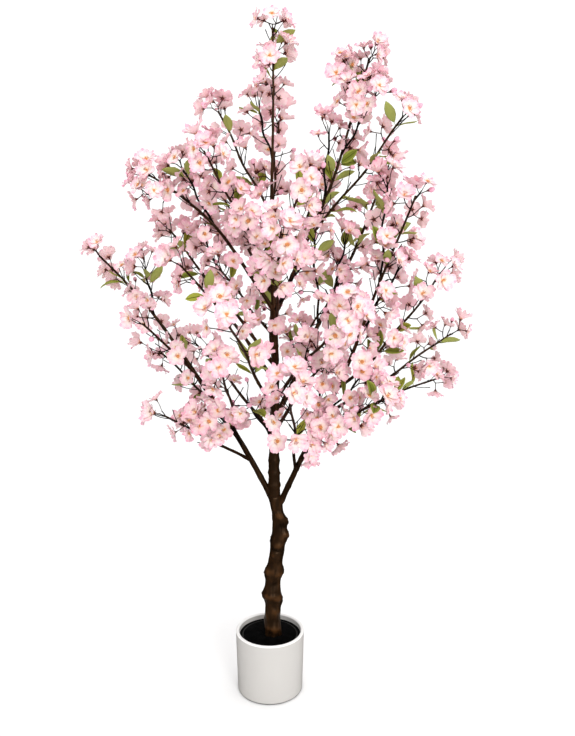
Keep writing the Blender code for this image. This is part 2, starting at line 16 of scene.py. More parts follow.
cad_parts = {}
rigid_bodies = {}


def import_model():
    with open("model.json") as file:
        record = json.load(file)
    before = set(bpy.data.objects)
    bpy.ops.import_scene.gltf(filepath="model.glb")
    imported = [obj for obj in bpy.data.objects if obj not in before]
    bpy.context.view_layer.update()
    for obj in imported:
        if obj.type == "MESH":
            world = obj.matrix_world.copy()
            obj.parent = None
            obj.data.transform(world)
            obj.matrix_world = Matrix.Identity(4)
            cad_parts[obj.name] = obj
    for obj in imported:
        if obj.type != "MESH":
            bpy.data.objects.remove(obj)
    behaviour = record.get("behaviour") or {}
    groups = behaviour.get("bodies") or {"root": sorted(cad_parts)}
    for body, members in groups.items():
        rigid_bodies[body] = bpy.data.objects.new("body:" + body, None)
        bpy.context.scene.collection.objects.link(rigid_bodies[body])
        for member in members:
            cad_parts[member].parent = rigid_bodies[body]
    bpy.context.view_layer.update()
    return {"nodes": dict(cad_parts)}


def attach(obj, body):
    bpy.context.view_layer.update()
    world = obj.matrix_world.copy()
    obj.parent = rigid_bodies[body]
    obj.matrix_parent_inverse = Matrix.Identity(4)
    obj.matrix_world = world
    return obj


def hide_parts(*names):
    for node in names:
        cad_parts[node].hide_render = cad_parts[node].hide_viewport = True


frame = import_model()

bl_info = {
    "name": "Artificial cherry tree",
    "version": (1, 0, 0),
    "blender": (4, 5, 0),
    "location": "3D View > Sidebar > Cherry tree",
    "description": "Builds the pot, bark, twigs, blossom and leaves of an artificial cherry tree",
    "category": "Object",
}

# Solids that the pieces stand for
BLOSSOM_NODES = [name for name in frame["nodes"] if name.startswith("blossom_")]
BOUGH_NODES = [name for name in frame["nodes"] if name.startswith("bough_")]

# Pot and filler
POT_HEIGHT = 0.178
POT_RIM_RADIUS = 0.097
POT_FOOT_RADIUS = 0.0925
POT_WALL = 0.0095
POT_FLOOR = 0.012
POT_SIDES = 96
FILLER_TOP = 0.163
SEAT_GAP = 0.0003

# Trunk
TRUNK_FOOT = FILLER_TOP + SEAT_GAP
FORK_HEIGHT = 0.575
TRUNK_FOOT_X = 0.0085
TRUNK_LEAN = 0.020
LEAN_FROM = 0.31
LEAN_TO = 0.82
TRUNK_BACK = 0.015
TRUNK_FOOT_RADIUS = 0.0225
TRUNK_TOP_RADIUS = 0.0178
TRUNK_FLARE = 0.005
TRUNK_FLARE_HEIGHT = 0.018
NECK_HEIGHT = 0.530
NECK_DEPTH = 0.0025
NECK_SPAN = 0.014
KNOT_SPAN = 0.017
KNOT_TURN = 55.0
LUMP_SPAN = 0.0085
LUMP_TURN = 36.0

# Stems and sprays, grown by the same rule as the solids
TIP_RADIUS = 0.0022
LEADER_TAPER = 1.95
LIMB_TAPER = 1.25
STEM_COVER = 0.0003
WOBBLE = 0.005
WOBBLE_PHASE = 10.0
WOBBLE_TURNS_X = 9.0
WOBBLE_TURNS_Y = 11.0
JOINT_STEP = 0.0225
SPRAY_JOINTS = 2
OPEN_JOINTS = 2
BARE_START = 0.012
BARE_FORK = 0.035
LAST_SPRAY = 0.95
CROWN_TOP = 1.834
SIDE_TILT = 1.15
END_TILT = 0.55
END_SPRAYS = 3
GOLDEN_ANGLE = math.radians(137.5)
SEED = 45


class Knot(NamedTuple):
    """A swelling on the trunk: its height, the side it faces and how far it stands out."""

    height: float
    azimuth: float
    bulge: float


class Plume(NamedTuple):
    """A stem and the blossom on it: what carries it and where, where it ends, its thickness.

    bare is the share of the stem from its fork on that has no blossom.
    """

    parent: str
    share: float
    azimuth: float
    reach: float
    height: float
    bow: float
    radius: float
    bare: float


KNOTS = (
    Knot(0.205, 150.0, 0.004),
    Knot(0.266, 5.0, 0.007),
    Knot(0.286, 180.0, 0.010),
    Knot(0.292, 280.0, 0.006),
    Knot(0.354, 10.0, 0.007),
    Knot(0.352, 190.0, 0.007),
    Knot(0.400, 95.0, 0.005),
    Knot(0.420, 255.0, 0.004),
    Knot(0.448, 178.0, 0.006),
    Knot(0.462, -5.0, 0.009),
    Knot(0.504, -15.0, 0.008),
    Knot(0.500, 120.0, 0.004),
)
# Rounded lumps and hollows of the bark between the knots
LUMPS = (
    Knot(0.190, 236.0, 0.0046),
    Knot(0.186, 300.0, 0.0040),
    Knot(0.192, 80.0, 0.0040),
    Knot(0.214, 270.0, -0.0024),
    Knot(0.240, 300.0, 0.0024),
    Knot(0.286, 248.0, 0.0058),
    Knot(0.280, 305.0, 0.0046),
    Knot(0.290, 100.0, 0.0050),
    Knot(0.322, 270.0, -0.0030),
    Knot(0.360, 236.0, 0.0050),
    Knot(0.350, 300.0, 0.0046),
    Knot(0.358, 60.0, 0.0044),
    Knot(0.386, 280.0, -0.0026),
    Knot(0.410, 252.0, 0.0040),
    Knot(0.436, 268.0, 0.0040),
    Knot(0.423, 262.0, -0.0030),
    Knot(0.440, 90.0, 0.0044),
    Knot(0.468, 318.0, 0.0042),
    Knot(0.494, 296.0, -0.0034),
    Knot(0.524, 286.0, 0.0062),
    Knot(0.516, 110.0, 0.0046),
)

# Stems that the solids have too
PLUMES = {
    "leader": Plume("trunk", 1.0, 0.0, 0.013, 1.790, 0.0, 0.0165, 0.83),
    "left": Plume("trunk", 0.915, 176.0, 0.450, 1.230, 0.060, 0.0085, 0.50),
    "right": Plume("trunk", 0.91, 337.0, 0.385, 1.375, -0.030, 0.0085, 0.55),
    "left_low": Plume("left", 0.15, 204.0, 0.290, 0.832, 0.000, 0.0042, 0.35),
    "left_inner": Plume("left", 0.24, 247.0, 0.270, 0.985, 0.010, 0.0040, 0.30),
    "left_mid": Plume("left", 0.30, 206.0, 0.340, 1.070, 0.020, 0.0042, 0.35),
    "left_rear": Plume("left", 0.28, 158.0, 0.340, 0.960, 0.010, 0.0040, 0.0),
    "right_front": Plume("right", 0.16, 279.0, 0.355, 0.950, 0.010, 0.0042, 0.28),
    "right_low": Plume("right", 0.20, 321.0, 0.355, 0.895, 0.020, 0.0042, 0.25),
    "right_side": Plume("right", 0.36, 5.0, 0.495, 1.020, -0.005, 0.0045, 0.35),
    "right_rear": Plume("right", 0.30, 14.0, 0.500, 0.885, 0.010, 0.0042, 0.40),
    "right_upper": Plume("right", 0.46, 350.0, 0.440, 1.190, -0.030, 0.0042, 0.30),
    "high_right": Plume("leader", 0.18, 20.0, 0.345, 1.470, -0.020, 0.0078, 0.45),
    "crest": Plume("leader", 0.415, 1.0, 0.255, 1.718, -0.050, 0.0062, 0.42),
    "crest_side": Plume("crest", 0.38, 348.0, 0.340, 1.570, -0.010, 0.0034, 0.0),
    "front_left": Plume("leader", 0.265, 226.0, 0.290, 1.215, 0.015, 0.0050, 0.42),
    "back_left": Plume("leader", 0.30, 155.0, 0.305, 1.300, 0.000, 0.0050, 0.42),
    "high_left": Plume("leader", 0.42, 183.0, 0.305, 1.435, 0.050, 0.0052, 0.40),
    "upper_front": Plume("leader", 0.50, 222.0, 0.200, 1.480, 0.000, 0.0036, 0.0),
    "top_left": Plume("leader", 0.62, 158.0, 0.140, 1.600, 0.000, 0.0032, 0.0),
    "inner_right": Plume("leader", 0.28, 322.0, 0.165, 1.090, 0.000, 0.0034, 0.0),
    "inner_left": Plume("leader", 0.36, 205.0, 0.135, 1.200, 0.000, 0.0034, 0.0),
    "near_right": Plume("leader", 0.55, 305.0, 0.175, 1.410, 0.000, 0.0034, 0.0),
    "front_low": Plume("leader", 0.19, 256.0, 0.370, 1.110, 0.010, 0.0048, 0.36),
    "front_high": Plume("leader", 0.37, 277.0, 0.290, 1.300, 0.010, 0.0044, 0.40),
    "front_right": Plume("leader", 0.225, 300.0, 0.380, 1.110, 0.010, 0.0048, 0.36),
    "rear_left": Plume("leader", 0.14, 128.0, 0.380, 0.960, 0.010, 0.0050, 0.45),
    "rear_right": Plume("leader", 0.15, 52.0, 0.385, 1.000, 0.010, 0.0050, 0.45),
    "rear_mid": Plume("leader", 0.26, 92.0, 0.400, 1.160, 0.010, 0.0050, 0.42),
    "rear_high_left": Plume("leader", 0.455, 120.0, 0.290, 1.410, 0.000, 0.0044, 0.38),
    "rear_high_right": Plume("leader", 0.475, 58.0, 0.300, 1.440, 0.000, 0.0044, 0.38),
    "rear_top": Plume("leader", 0.63, 80.0, 0.150, 1.590, 0.000, 0.0032, 0.0),
}

# Stems that fork from the limbs above, too fine for the solids
SIDE_TWIGS = {
    "high_left_up": Plume("high_left", 0.50, 184.0, 0.220, 1.455, 0.000, 0.0026, 0.35),
    "fork_far": Plume("right", 0.34, 326.0, 0.285, 0.945, 0.000, 0.0028, 0.45),
    "fill_right": Plume("high_right", 0.40, 341.0, 0.125, 1.275, 0.000, 0.0030, 0.30),
    "fill_near": Plume("leader", 0.42, 309.0, 0.130, 1.205, 0.000, 0.0028, 0.25),
    "fill_mid_right": Plume("high_right", 0.52, 0.0, 0.200, 1.265, 0.000, 0.0026, 0.20),
    "fork_right": Plume("right", 0.28, 318.0, 0.195, 0.940, 0.010, 0.0030, 0.35),
    "fork_left": Plume("left", 0.20, 212.0, 0.150, 0.820, 0.005, 0.0028, 0.35),
    "fork_inner": Plume("leader", 0.12, 239.0, 0.105, 0.860, 0.005, 0.0028, 0.40),
    "low_left_up": Plume("left_low", 0.45, 209.0, 0.185, 0.815, 0.000, 0.0024, 0.10),
    "back_left_up": Plume("back_left", 0.45, 173.0, 0.165, 1.270, 0.000, 0.0026, 0.20),
    "high_left_low": Plume("high_left", 0.80, 189.0, 0.305, 1.385, -0.010, 0.0022, 0.10),
    "left_up": Plume("left", 0.70, 182.0, 0.320, 1.200, 0.000, 0.0026, 0.25),
    "crest_near": Plume("crest", 0.70, 352.0, 0.270, 1.625, 0.000, 0.0024, 0.20),
    "crest_left": Plume("crest", 0.84, 3.0, 0.200, 1.695, 0.000, 0.0022, 0.10),
    "crest_low_left": Plume("crest", 0.52, 356.0, 0.155, 1.535, 0.000, 0.0026, 0.20),
    "leader_left": Plume("leader", 0.74, 180.0, 0.025, 1.600, 0.000, 0.0024, 0.10),
    "right_inner": Plume("right", 0.78, 341.0, 0.310, 1.405, 0.000, 0.0024, 0.15),
    "right_mid": Plume("right", 0.62, 340.0, 0.345, 1.205, 0.000, 0.0026, 0.30),
    "front_fork": Plume("right_front", 0.22, 315.0, 0.185, 0.800, 0.000, 0.0024, 0.20),
}
STEMS = {**PLUMES, **SIDE_TWIGS}

# How full of flowers a stem is. One that isn't named here has the usual fullness
FULLNESS = {
    "inner_left": 0.70,
    "left": 0.62,
    "right_front": 0.46,
    "fork_inner": 0.35,
    "fork_left": 0.70,
    "left_low": 0.44,
    "left_rear": 0.40,
    "left_mid": 0.50,
    "left_inner": 0.66,
    "front_low": 0.50,
    "right_low": 0.66,
    "right_side": 0.62,
    "right_rear": 0.52,
    "right_upper": 0.70,
    "crest": 0.80,
    "crest_side": 0.58,
    "high_left": 0.58,
    "front_left": 0.66,
    "top_left": 0.80,
    "rear_left": 0.60,
    "rear_right": 0.65,
    "rear_mid": 0.65,
    "rear_high_left": 0.80,
    "rear_high_right": 0.70,
    "rear_top": 0.60,
    "high_left_low": 0.55,
    "left_up": 0.50,
    "low_left_up": 0.45,
    "crest_low_left": 0.60,
    "crest_left": 0.70,
    "leader_left": 0.44,
    "right_inner": 0.60,
    "fill_right": 0.60,
    "fill_mid_right": 0.60,
    "leader": 1.25,
    "crest_near": 0.70,
    "right": 0.82,
    "near_right": 0.62,
    "high_right": 0.78,
    "right_mid": 0.62,
    "fill_near": 0.55,
    "inner_right": 0.80,
    "front_fork": 1.10,
    "upper_front": 1.10,
    "back_left": 0.75,
}
USUAL_FULLNESS = 0.92

# Stretches of a stem, as shares of its length, with leaves and only stray flowers
OPEN_STRETCHES = {
    "crest_side": (0.0, 0.58),
    "crest": (0.42, 0.64),
    "near_right": (0.55, 0.70),
    "high_right": (0.62, 0.74),
    "left_low": (0.35, 0.55),
    "left_rear": (0.30, 0.62),
    "left_mid": (0.50, 0.66),
    "left_inner": (0.30, 0.45),
    "right_rear": (0.56, 0.72),
    "right_side": (0.35, 0.46),
    "front_low": (0.36, 0.64),
    "rear_left": (0.45, 0.62),
}


def length_prop(name, description, default):
    """A length in metres."""
    return bpy.props.FloatProperty(
        name=name, description=description, default=default, min=0.0, unit="LENGTH", precision=4
    )


def colour_prop(name, description, default):
    """A colour, given as it looks on a screen, from 0 to 255."""
    linear = [((c / 255 + 0.055) / 1.055) ** 2.4 if c > 10 else c / 255 / 12.92 for c in default]
    return bpy.props.FloatVectorProperty(
        name=name, description=description, default=linear, size=3, min=0.0, max=1.0, subtype="COLOR"
    )


class TreeSizes(bpy.types.PropertyGroup):
    """Sizes of what grows on the limbs."""

    flower_radius: length_prop("Flower radius", "From the centre of a flower to its rim", 0.0275)
    spur_length: length_prop("Spur length", "Twig between a stem and the flowers of a spray", 0.019)
    pedicel_length: length_prop("Pedicel length", "Stalk of one flower", 0.028)
    pedicel_radius: length_prop("Pedicel radius", "Half the thickness of a flower's stalk", 0.0011)
    leaf_length: length_prop("Leaf length", "Blade of a full leaf", 0.057)
    leaf_width: length_prop("Leaf width", "Blade of a full leaf, across", 0.026)
    bark_lump: length_prop("Bark lumps", "How far the moulded bark stands out and in", 0.0026)
    spray_flowers: bpy.props.IntProperty(
        name="Flowers in a spray", description="Most flowers that open from one spur", default=3, min=1
    )


class TreeColours(bpy.types.PropertyGroup):
    """Colours of the tree."""

    glaze: colour_prop("Glaze", "Pot", (199, 196, 192))
    # Lip is a painted highlight: a whiter band of base colour round the top of the pot, standing in for
    # the light its rounded lip catches.
    lip_highlight: colour_prop("Lip", "Glaze pooled on the pot's lip", (246, 245, 243))
    filler: colour_prop("Filler", "Plug in the pot", (9, 9, 9))
    # Ring is partly a painted highlight: the groove near the filler's edge is real, and its lighter
    # colour stands in for the glint along it.
    ring: colour_prop("Ring", "Thin ring in the top of the filler", (40, 39, 37))
    # Bark and light bark also colour the trunk's relief: darker in its hollows as painted shade, lighter
    # on its crests as a painted highlight.
    bark: colour_prop("Bark", "Hollows of the moulded bark", (44, 26, 11))
    bark_light: colour_prop("Light bark", "Worn crests of the moulded bark", (78, 48, 22))
    sheen: colour_prop("Bark sheen", "Tint of the light on the bark", (240, 196, 156))
    twig: colour_prop("Twig", "Twigs and stems", (19, 12, 8))
    pedicel: colour_prop("Pedicel", "Stalks of flowers", (58, 38, 28))
    calyx: colour_prop("Calyx", "Star behind a flower", (96, 34, 26))
    back: colour_prop("Petal base", "Back of a flower round its calyx", (244, 197, 190))
    outside: colour_prop("Outside", "Back of a petal", (250, 210, 215))
    throat: colour_prop("Throat", "Petals round the centre", (250, 219, 186))
    white: colour_prop("White", "Inner part of a petal", (247, 223, 217))
    blush: colour_prop("Blush", "Middle of a petal", (247, 217, 219))
    pink: colour_prop("Pink", "Outer part of a petal", (245, 204, 212))
    rim: colour_prop("Rim", "Edge of a petal", (237, 175, 195))
    heart: colour_prop("Heart", "Centre of a flower", (214, 138, 84))
    filament: colour_prop("Filament", "Threads round the centre", (240, 190, 134))
    anther: colour_prop("Anther", "Tips of the threads", (206, 126, 74))
    leaf: colour_prop("Leaf", "Leaves in the middle of the range", (140, 147, 42))
    leaf_dark: colour_prop("Dark leaf", "Darkest leaves", (112, 124, 34))
    leaf_light: colour_prop("Light leaf", "Youngest leaves", (156, 162, 54))
    leaf_edge: colour_prop("Leaf edge", "Edges of all leaves are drawn towards this", (176, 180, 84))
    leaf_rib: colour_prop("Leaf rib", "Line along the middle of a leaf", (84, 92, 26))
    leaf_back: colour_prop("Leaf underside", "Undersides of all leaves", (150, 156, 82))


class StageLook(bpy.types.PropertyGroup):
    """Floor, light and camera."""

    floor: colour_prop("Floor", "Plain floor", (254, 254, 254))
    sky: bpy.props.FloatProperty(
        name="Surrounding light", description="Strength of the even white light", default=1.15
    )
    key: bpy.props.FloatProperty(
        name="Key light", description="Power of the large lamp at the front right", default=142.0
    )
    lens: bpy.props.FloatProperty(
        name="Lens", description="Focal length in millimetres", default=36.2, unit="CAMERA"
    )


def sizes():
    """The sizes that are set in the scene."""
    return bpy.context.scene.cherry_sizes


def colours():
    """The colours that are set in the scene."""
    return bpy.context.scene.cherry_colours


# Shapes shared with the solids


def bell(distance, span):
    """1 at no distance, and close to 0 from two spans on."""
    return math.exp(-((distance / span) ** 2))


def side_bell(angle, azimuth, span):
    """A bell round the trunk: 1 where it faces the azimuth. The span is in degrees."""
    turn = math.remainder(angle - math.radians(azimuth), 2.0 * math.pi)
    return bell(turn, math.radians(span))


def arc(start, middle, end, share):
    """A point on an arc that leaves its start towards the middle and ends at its end."""
    return start * (1 - share) ** 2 + middle * 2 * share * (1 - share) + end * share**2


def line_steps(points):
    """Distances from each point to the next."""
    return [(after - before).length for before, after in zip(points, points[1:])]


def trunk_axis(share):
    """Centre of the trunk, from its foot (0) to the fork (1). It leans and then comes back."""
    height = TRUNK_FOOT + (FORK_HEIGHT - TRUNK_FOOT) * share
    part = min(1.0, max(0.0, (share - LEAN_FROM) / (LEAN_TO - LEAN_FROM)))
    lean = TRUNK_LEAN * 0.5 * (1.0 - math.cos(math.pi * part))
    back = TRUNK_BACK * max(0.0, share - LEAN_TO) / (1.0 - LEAN_TO)
    return Vector((TRUNK_FOOT_X + lean - back, 0.0, height))


def trunk_radius(height, angle):
    """Radius of the trunk at a height and a direction round it, with its knots and flare."""
    share = (height - TRUNK_FOOT) / (FORK_HEIGHT - TRUNK_FOOT)
    radius = TRUNK_FOOT_RADIUS + (TRUNK_TOP_RADIUS - TRUNK_FOOT_RADIUS) * share
    radius += TRUNK_FLARE * math.exp(-(height - TRUNK_FOOT) / TRUNK_FLARE_HEIGHT)
    radius -= NECK_DEPTH * bell(height - NECK_HEIGHT, NECK_SPAN)
    for knot in KNOTS:
        side = side_bell(angle, knot.azimuth, KNOT_TURN)
        radius += knot.bulge * side * bell(height - knot.height, KNOT_SPAN)
    return radius


def plume_start(plume):
    """Where a stem leaves the trunk or the stem that carries it."""
    if plume.parent == "trunk":
        return trunk_axis(plume.share)
    return plume_point(plume.parent, plume.share)


def plume_point(name, share):
    """A point along a stem: an arc from the fork to the end, with a slight wobble."""
    plume = STEMS[name]
    start = plume_start(plume)
    turn = math.radians(plume.azimuth)
    end = Vector((plume.reach * math.cos(turn), plume.reach * math.sin(turn), plume.height))
    middle = (start + end) / 2 + Vector((0.0, 0.0, 2.0 * plume.bow))
    point = arc(start, middle, end, share)
    phase = WOBBLE_PHASE * (plume.azimuth + plume.height)
    swing = WOBBLE * math.sin(math.pi * share)
    point.x += swing * math.sin(WOBBLE_TURNS_X * share + phase)
    point.y += swing * math.cos(WOBBLE_TURNS_Y * share + phase)
    return point


def plume_radius(name, share):
    """Radius of a stem, from its fork (0) to its tip (1)."""
    power = LEADER_TAPER if name == "leader" else LIMB_TAPER
    return TIP_RADIUS + (STEMS[name].radius - TIP_RADIUS) * (1.0 - share) ** power


def spread(direction, turn, tilt):
    """A direction tilted away from another one, towards a side given by a turn round it."""
    side = direction.orthogonal().normalized()
    other = direction.cross(side)
    out = side * math.cos(turn) + other * math.sin(turn)
    return (direction * math.cos(tilt) + out * math.sin(tilt)).normalized()


# Materials


def new_material(name, colour, roughness, **sockets):
    """A material with plain values on its shader's own sockets."""
    material = bpy.data.materials.get(name) or bpy.data.materials.new(name)
    material.use_nodes = True
    shader = material.node_tree.nodes["Principled BSDF"]
    shader.inputs["Base Color"].default_value = (*colour, 1.0)
    shader.inputs["Roughness"].default_value = roughness
    for socket, value in sockets.items():
        shader.inputs[socket.replace("_", " ")].default_value = value
    return material


def new_node(material, kind, **sockets):
    """A node of a kind, with plain values on its inputs."""
    node = material.node_tree.nodes.new(kind)
    for socket, value in sockets.items():
        node.inputs[socket.replace("_", " ")].default_value = value
    return node


def join(material, output, target):
    """Links a node's output to another node's input."""
    material.node_tree.links.new(output, target)


def feed(material, socket, output):
    """Links a node's output to one of the shader's sockets."""
    join(material, output, material.node_tree.nodes["Principled BSDF"].inputs[socket])


def add_noise(material, scale, detail, stretch=(1.0, 1.0, 1.0)):
    """A noise on Object coordinates, stretched along the axes."""
    place = new_node(material, "ShaderNodeTexCoord")
    mapping = new_node(material, "ShaderNodeMapping", Scale=stretch)
    texture = new_node(material, "ShaderNodeTexNoise", Scale=scale, Detail=detail)
    join(material, place.outputs["Object"], mapping.inputs["Vector"])
    join(material, mapping.outputs["Vector"], texture.inputs["Vector"])
    return texture.outputs["Fac"]


def add_ramp(material, factor, *stops):
    """Turns a factor into a colour through (position, colour) stops."""
    ramp = new_node(material, "ShaderNodeValToRGB")
    elements = ramp.color_ramp.elements
    while len(elements) < len(stops):
        elements.new(0.5)
    for element, (position, colour) in zip(elements, stops):
        element.position = position
        element.color = (*colour, 1.0)
    join(material, factor, ramp.inputs["Fac"])
    return ramp.outputs["Color"]


def add_range(material, value, old=(0.0, 1.0), new=(0.0, 1.0)):
    """Carries a value over from one range to another."""
    limits = {"From_Min": old[0], "From_Max": old[1], "To_Min": new[0], "To_Max": new[1]}
    span = new_node(material, "ShaderNodeMapRange", **limits)
    join(material, value, span.inputs["Value"])
    return span.outputs["Result"]


def add_height(material, low, high):
    """A factor that goes from 0 to 1 between two heights."""
    place = new_node(material, "ShaderNodeTexCoord")
    split = new_node(material, "ShaderNodeSeparateXYZ")
    join(material, place.outputs["Object"], split.inputs["Vector"])
    return add_range(material, split.outputs["Z"], old=(low, high))


def add_relief(material, low, high):
    """A factor from 0 to 1 between two heights of the bark's relief, from the piece's attribute."""
    relief = new_node(material, "ShaderNodeAttribute")
    relief.attribute_name = "relief"
    return add_range(material, relief.outputs["Fac"], old=(low, high))


def add_mix(material, factor, plain, output):
    """A plain colour where the factor is 0, and another node's colour where it is 1."""
    mix = new_node(material, "ShaderNodeMixRGB", Color1=(*plain, 1.0))
    join(material, factor, mix.inputs["Fac"])
    join(material, output, mix.inputs["Color2"])
    return mix.outputs["Color"]


def add_bump(material, height, distance, strength):
    """A bump on the shader, added to any that is there."""
    bump = new_node(material, "ShaderNodeBump", Distance=distance, Strength=strength)
    join(material, height, bump.inputs["Height"])
    normal = material.node_tree.nodes["Principled BSDF"].inputs["Normal"]
    if normal.links:
        join(material, normal.links[0].from_socket, bump.inputs["Normal"])
    join(material, bump.outputs["Normal"], normal)


def glaze_material():
    """Off-white glaze: slightly uneven in tone and gloss, with a faint orange-peel, painted shade
    darkening its foot and a painted highlight whitening its lip.
    """
    base = Vector(colours().glaze)
    material = new_material("white_glaze", base, 0.30, Specular_IOR_Level=0.25, Coat_Weight=0.08)
    cloud = add_noise(material, scale=9.0, detail=3.0)
    tone = add_ramp(material, cloud, (0.3, base * 0.985), (0.7, base * 1.01))
    # Painted shade: the bottom few millimetres of the glaze are darkened to about a fifth, standing in
    # for the contact shadow where the pot meets the floor.
    foot = add_height(material, low=0.0026, high=0.0048)
    tone = add_mix(material, foot, base * 0.22, tone)
    # Painted highlight: the top few millimetres of the pot, outside and inside, take the whiter lip
    # colour in place of the light the rounded lip catches.
    lip_highlight = add_height(material, low=POT_HEIGHT - 0.0026, high=POT_HEIGHT - 0.0038)
    feed(material, "Base Color", add_mix(material, lip_highlight, Vector(colours().lip_highlight), tone))
    gloss = add_noise(material, scale=30.0, detail=2.0)
    feed(material, "Roughness", add_range(material, gloss, new=(0.26, 0.34)))
    add_bump(material, add_noise(material, scale=160.0, detail=2.0), distance=0.0002, strength=0.12)
    return material


def filler_material():
    """Black moulded filler: nearly even, dull, with a fine grain."""
    base = Vector(colours().filler)
    material = new_material("black_filler", base, 0.8, Specular_IOR_Level=0.06)
    cloud = add_noise(material, scale=60.0, detail=5.0)
    feed(material, "Base Color", add_ramp(material, cloud, (0.35, base * 0.6), (0.75, base * 1.7)))
    gloss = add_noise(material, scale=90.0, detail=4.0)
    feed(material, "Roughness", add_range(material, gloss, new=(0.45, 0.8)))
    add_bump(material, add_noise(material, scale=420.0, detail=4.0), distance=0.0012, strength=0.6)
    return material


def bark_material(name, upright, warmth, relief=False):
    """Moulded bark, painted dark brown, with a satin gloss. With relief, its hollows are darkened as
    painted shade and its crests lightened as a painted highlight.

    upright stretches the grain along the stem where it is under 1.
    """
    stretch = (1.0, 1.0, upright)
    dark, light = Vector(colours().bark) * warmth, Vector(colours().bark_light) * warmth
    sheen = (*colours().sheen, 1.0)
    material = new_material(name, dark, 0.42, Specular_IOR_Level=0.60, Specular_Tint=sheen)
    grain = add_noise(material, scale=55.0, detail=6.0, stretch=stretch)
    rubbed = dark.lerp(light, 0.40)
    tone = add_ramp(material, grain, (0.28, dark * 0.80), (0.5, dark), (0.66, rubbed), (0.82, light))
    if relief:
        # Painted shade: the bark is darkened to about a third in the relief's hollows.
        hollow_shade = add_relief(material, low=-0.0030, high=0.0016)
        tone = add_mix(material, hollow_shade, dark * 0.35, tone)
        # Painted highlight: the light bark is laid over the relief's crests, standing in for the light
        # the lumps catch.
        crest = add_range(material, add_relief(material, low=0.0012, high=0.0050), new=(1.0, 0.25))
        tone = add_mix(material, crest, light * 1.05, tone)
    feed(material, "Base Color", tone)
    gloss = add_noise(material, scale=120.0, detail=4.0, stretch=stretch)
    feed(material, "Roughness", add_range(material, gloss, new=(0.30, 0.48)))
    folds = add_noise(material, scale=70.0, detail=2.0, stretch=stretch)
    add_bump(material, folds, distance=0.0016, strength=0.25)
    pores = add_noise(material, scale=420.0, detail=3.0, stretch=stretch)
    add_bump(material, pores, distance=0.0004, strength=0.3)
    return material


def twig_material(name, dark):
    """Thin dark stems, a little lighter in patches."""
    material = new_material(name, dark, 0.5, Specular_IOR_Level=0.10)
    grain = add_noise(material, scale=140.0, detail=3.0, stretch=(1.0, 1.0, 0.4))
    feed(material, "Base Color", add_ramp(material, grain, (0.35, dark * 0.6), (0.7, dark * 1.5)))
    feed(material, "Roughness", add_range(material, grain, new=(0.38, 0.6)))
    return material


# Meshes

NEARLY_UPRIGHT = 0.05
START_CAP = 0.2
END_CAP = 0.5


class Shape(NamedTuple):
    """Points, faces with four and with three corners, and the material slot of each face."""

    points: np.ndarray
    quads: np.ndarray
    threes: np.ndarray
    quad_slots: np.ndarray
    three_slots: np.ndarray


class Heap:
    """Many small shapes gathered for one mesh."""

    def __init__(self):
        self.shapes = []
        self.count = 0

    def add(self, shape, slots=None):
        """Adds a shape. slots renumbers its materials."""
        if slots is not None:
            shape = shape._replace(
                quad_slots=slots[shape.quad_slots], three_slots=slots[shape.three_slots]
            )
        self.shapes.append(
            shape._replace(quads=shape.quads + self.count, threes=shape.threes + self.count)
        )
        self.count += len(shape.points)

    def joined(self):
        """All the shapes as one."""
        return Shape(*(np.concatenate(parts) for parts in zip(*self.shapes)))

    def piece(self, name, materials, nodes=()):
        """All the shapes as one smooth piece of the tree, in the place of the nodes it stands for."""
        shape = self.joined()
        mesh = bpy.data.meshes.new(name)
        mesh.from_pydata(shape.points.tolist(), [], shape.quads.tolist() + shape.threes.tolist())
        slots = np.concatenate((shape.quad_slots, shape.three_slots))
        mesh.polygons.foreach_set("material_index", slots.astype(np.int32))
        mesh.polygons.foreach_set("use_smooth", np.ones(len(slots), dtype=bool))
        for material in materials:
            mesh.materials.append(material)
        mesh.update()
        item = bpy.data.objects.new(name, mesh)
        bpy.context.scene.collection.objects.link(item)
        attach(item, "root")
        if nodes:
            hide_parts(*nodes)
        return item


def shape_of(points, quads, threes=(), slot=0):
    """A shape from lists of points and faces, all in one material slot."""
    quads = np.array(quads, dtype=np.int64).reshape(-1, 4)
    threes = np.array(threes, dtype=np.int64).reshape(-1, 3)
    slots = [np.full(len(faces), slot, dtype=np.int64) for faces in (quads, threes)]
    return Shape(np.array(points, dtype=float), quads, threes, *slots)


def joined_shape(shapes):
    """Several shapes as one."""
    heap = Heap()
    for shape in shapes:
        heap.add(shape)
    return heap.joined()


def moved_shape(shape, matrix):
    """A shape turned, scaled and moved by a matrix."""
    turn = np.array(matrix)
    return shape._replace(points=shape.points @ turn[:3, :3].T + turn[:3, 3])


def two_sided(sheet, under_slots, thickness):
    """A sheet and, just below it, its copy turned over, with slots of its own."""
    under = sheet.points - np.array((0.0, 0.0, thickness))
    return sheet._replace(
        points=np.concatenate((sheet.points, under)),
        quads=np.concatenate((sheet.quads, sheet.quads[:, ::-1] + len(sheet.points))),
        quad_slots=np.concatenate((sheet.quad_slots, under_slots)),
    )


def ring_faces(corners, first, last):
    """Faces between rings of corners, and fans that close both ends on one point each."""
    sides = corners.shape[1]
    after = np.roll(corners, -1, axis=1)
    quads = np.stack((corners[:-1], after[:-1], after[1:], corners[1:]), axis=-1).reshape(-1, 4)
    start = np.stack((after[0], corners[0], np.full(sides, first)), axis=-1)
    end = np.stack((corners[-1], after[-1], np.full(sides, last)), axis=-1)
    return quads, np.concatenate((start, end))


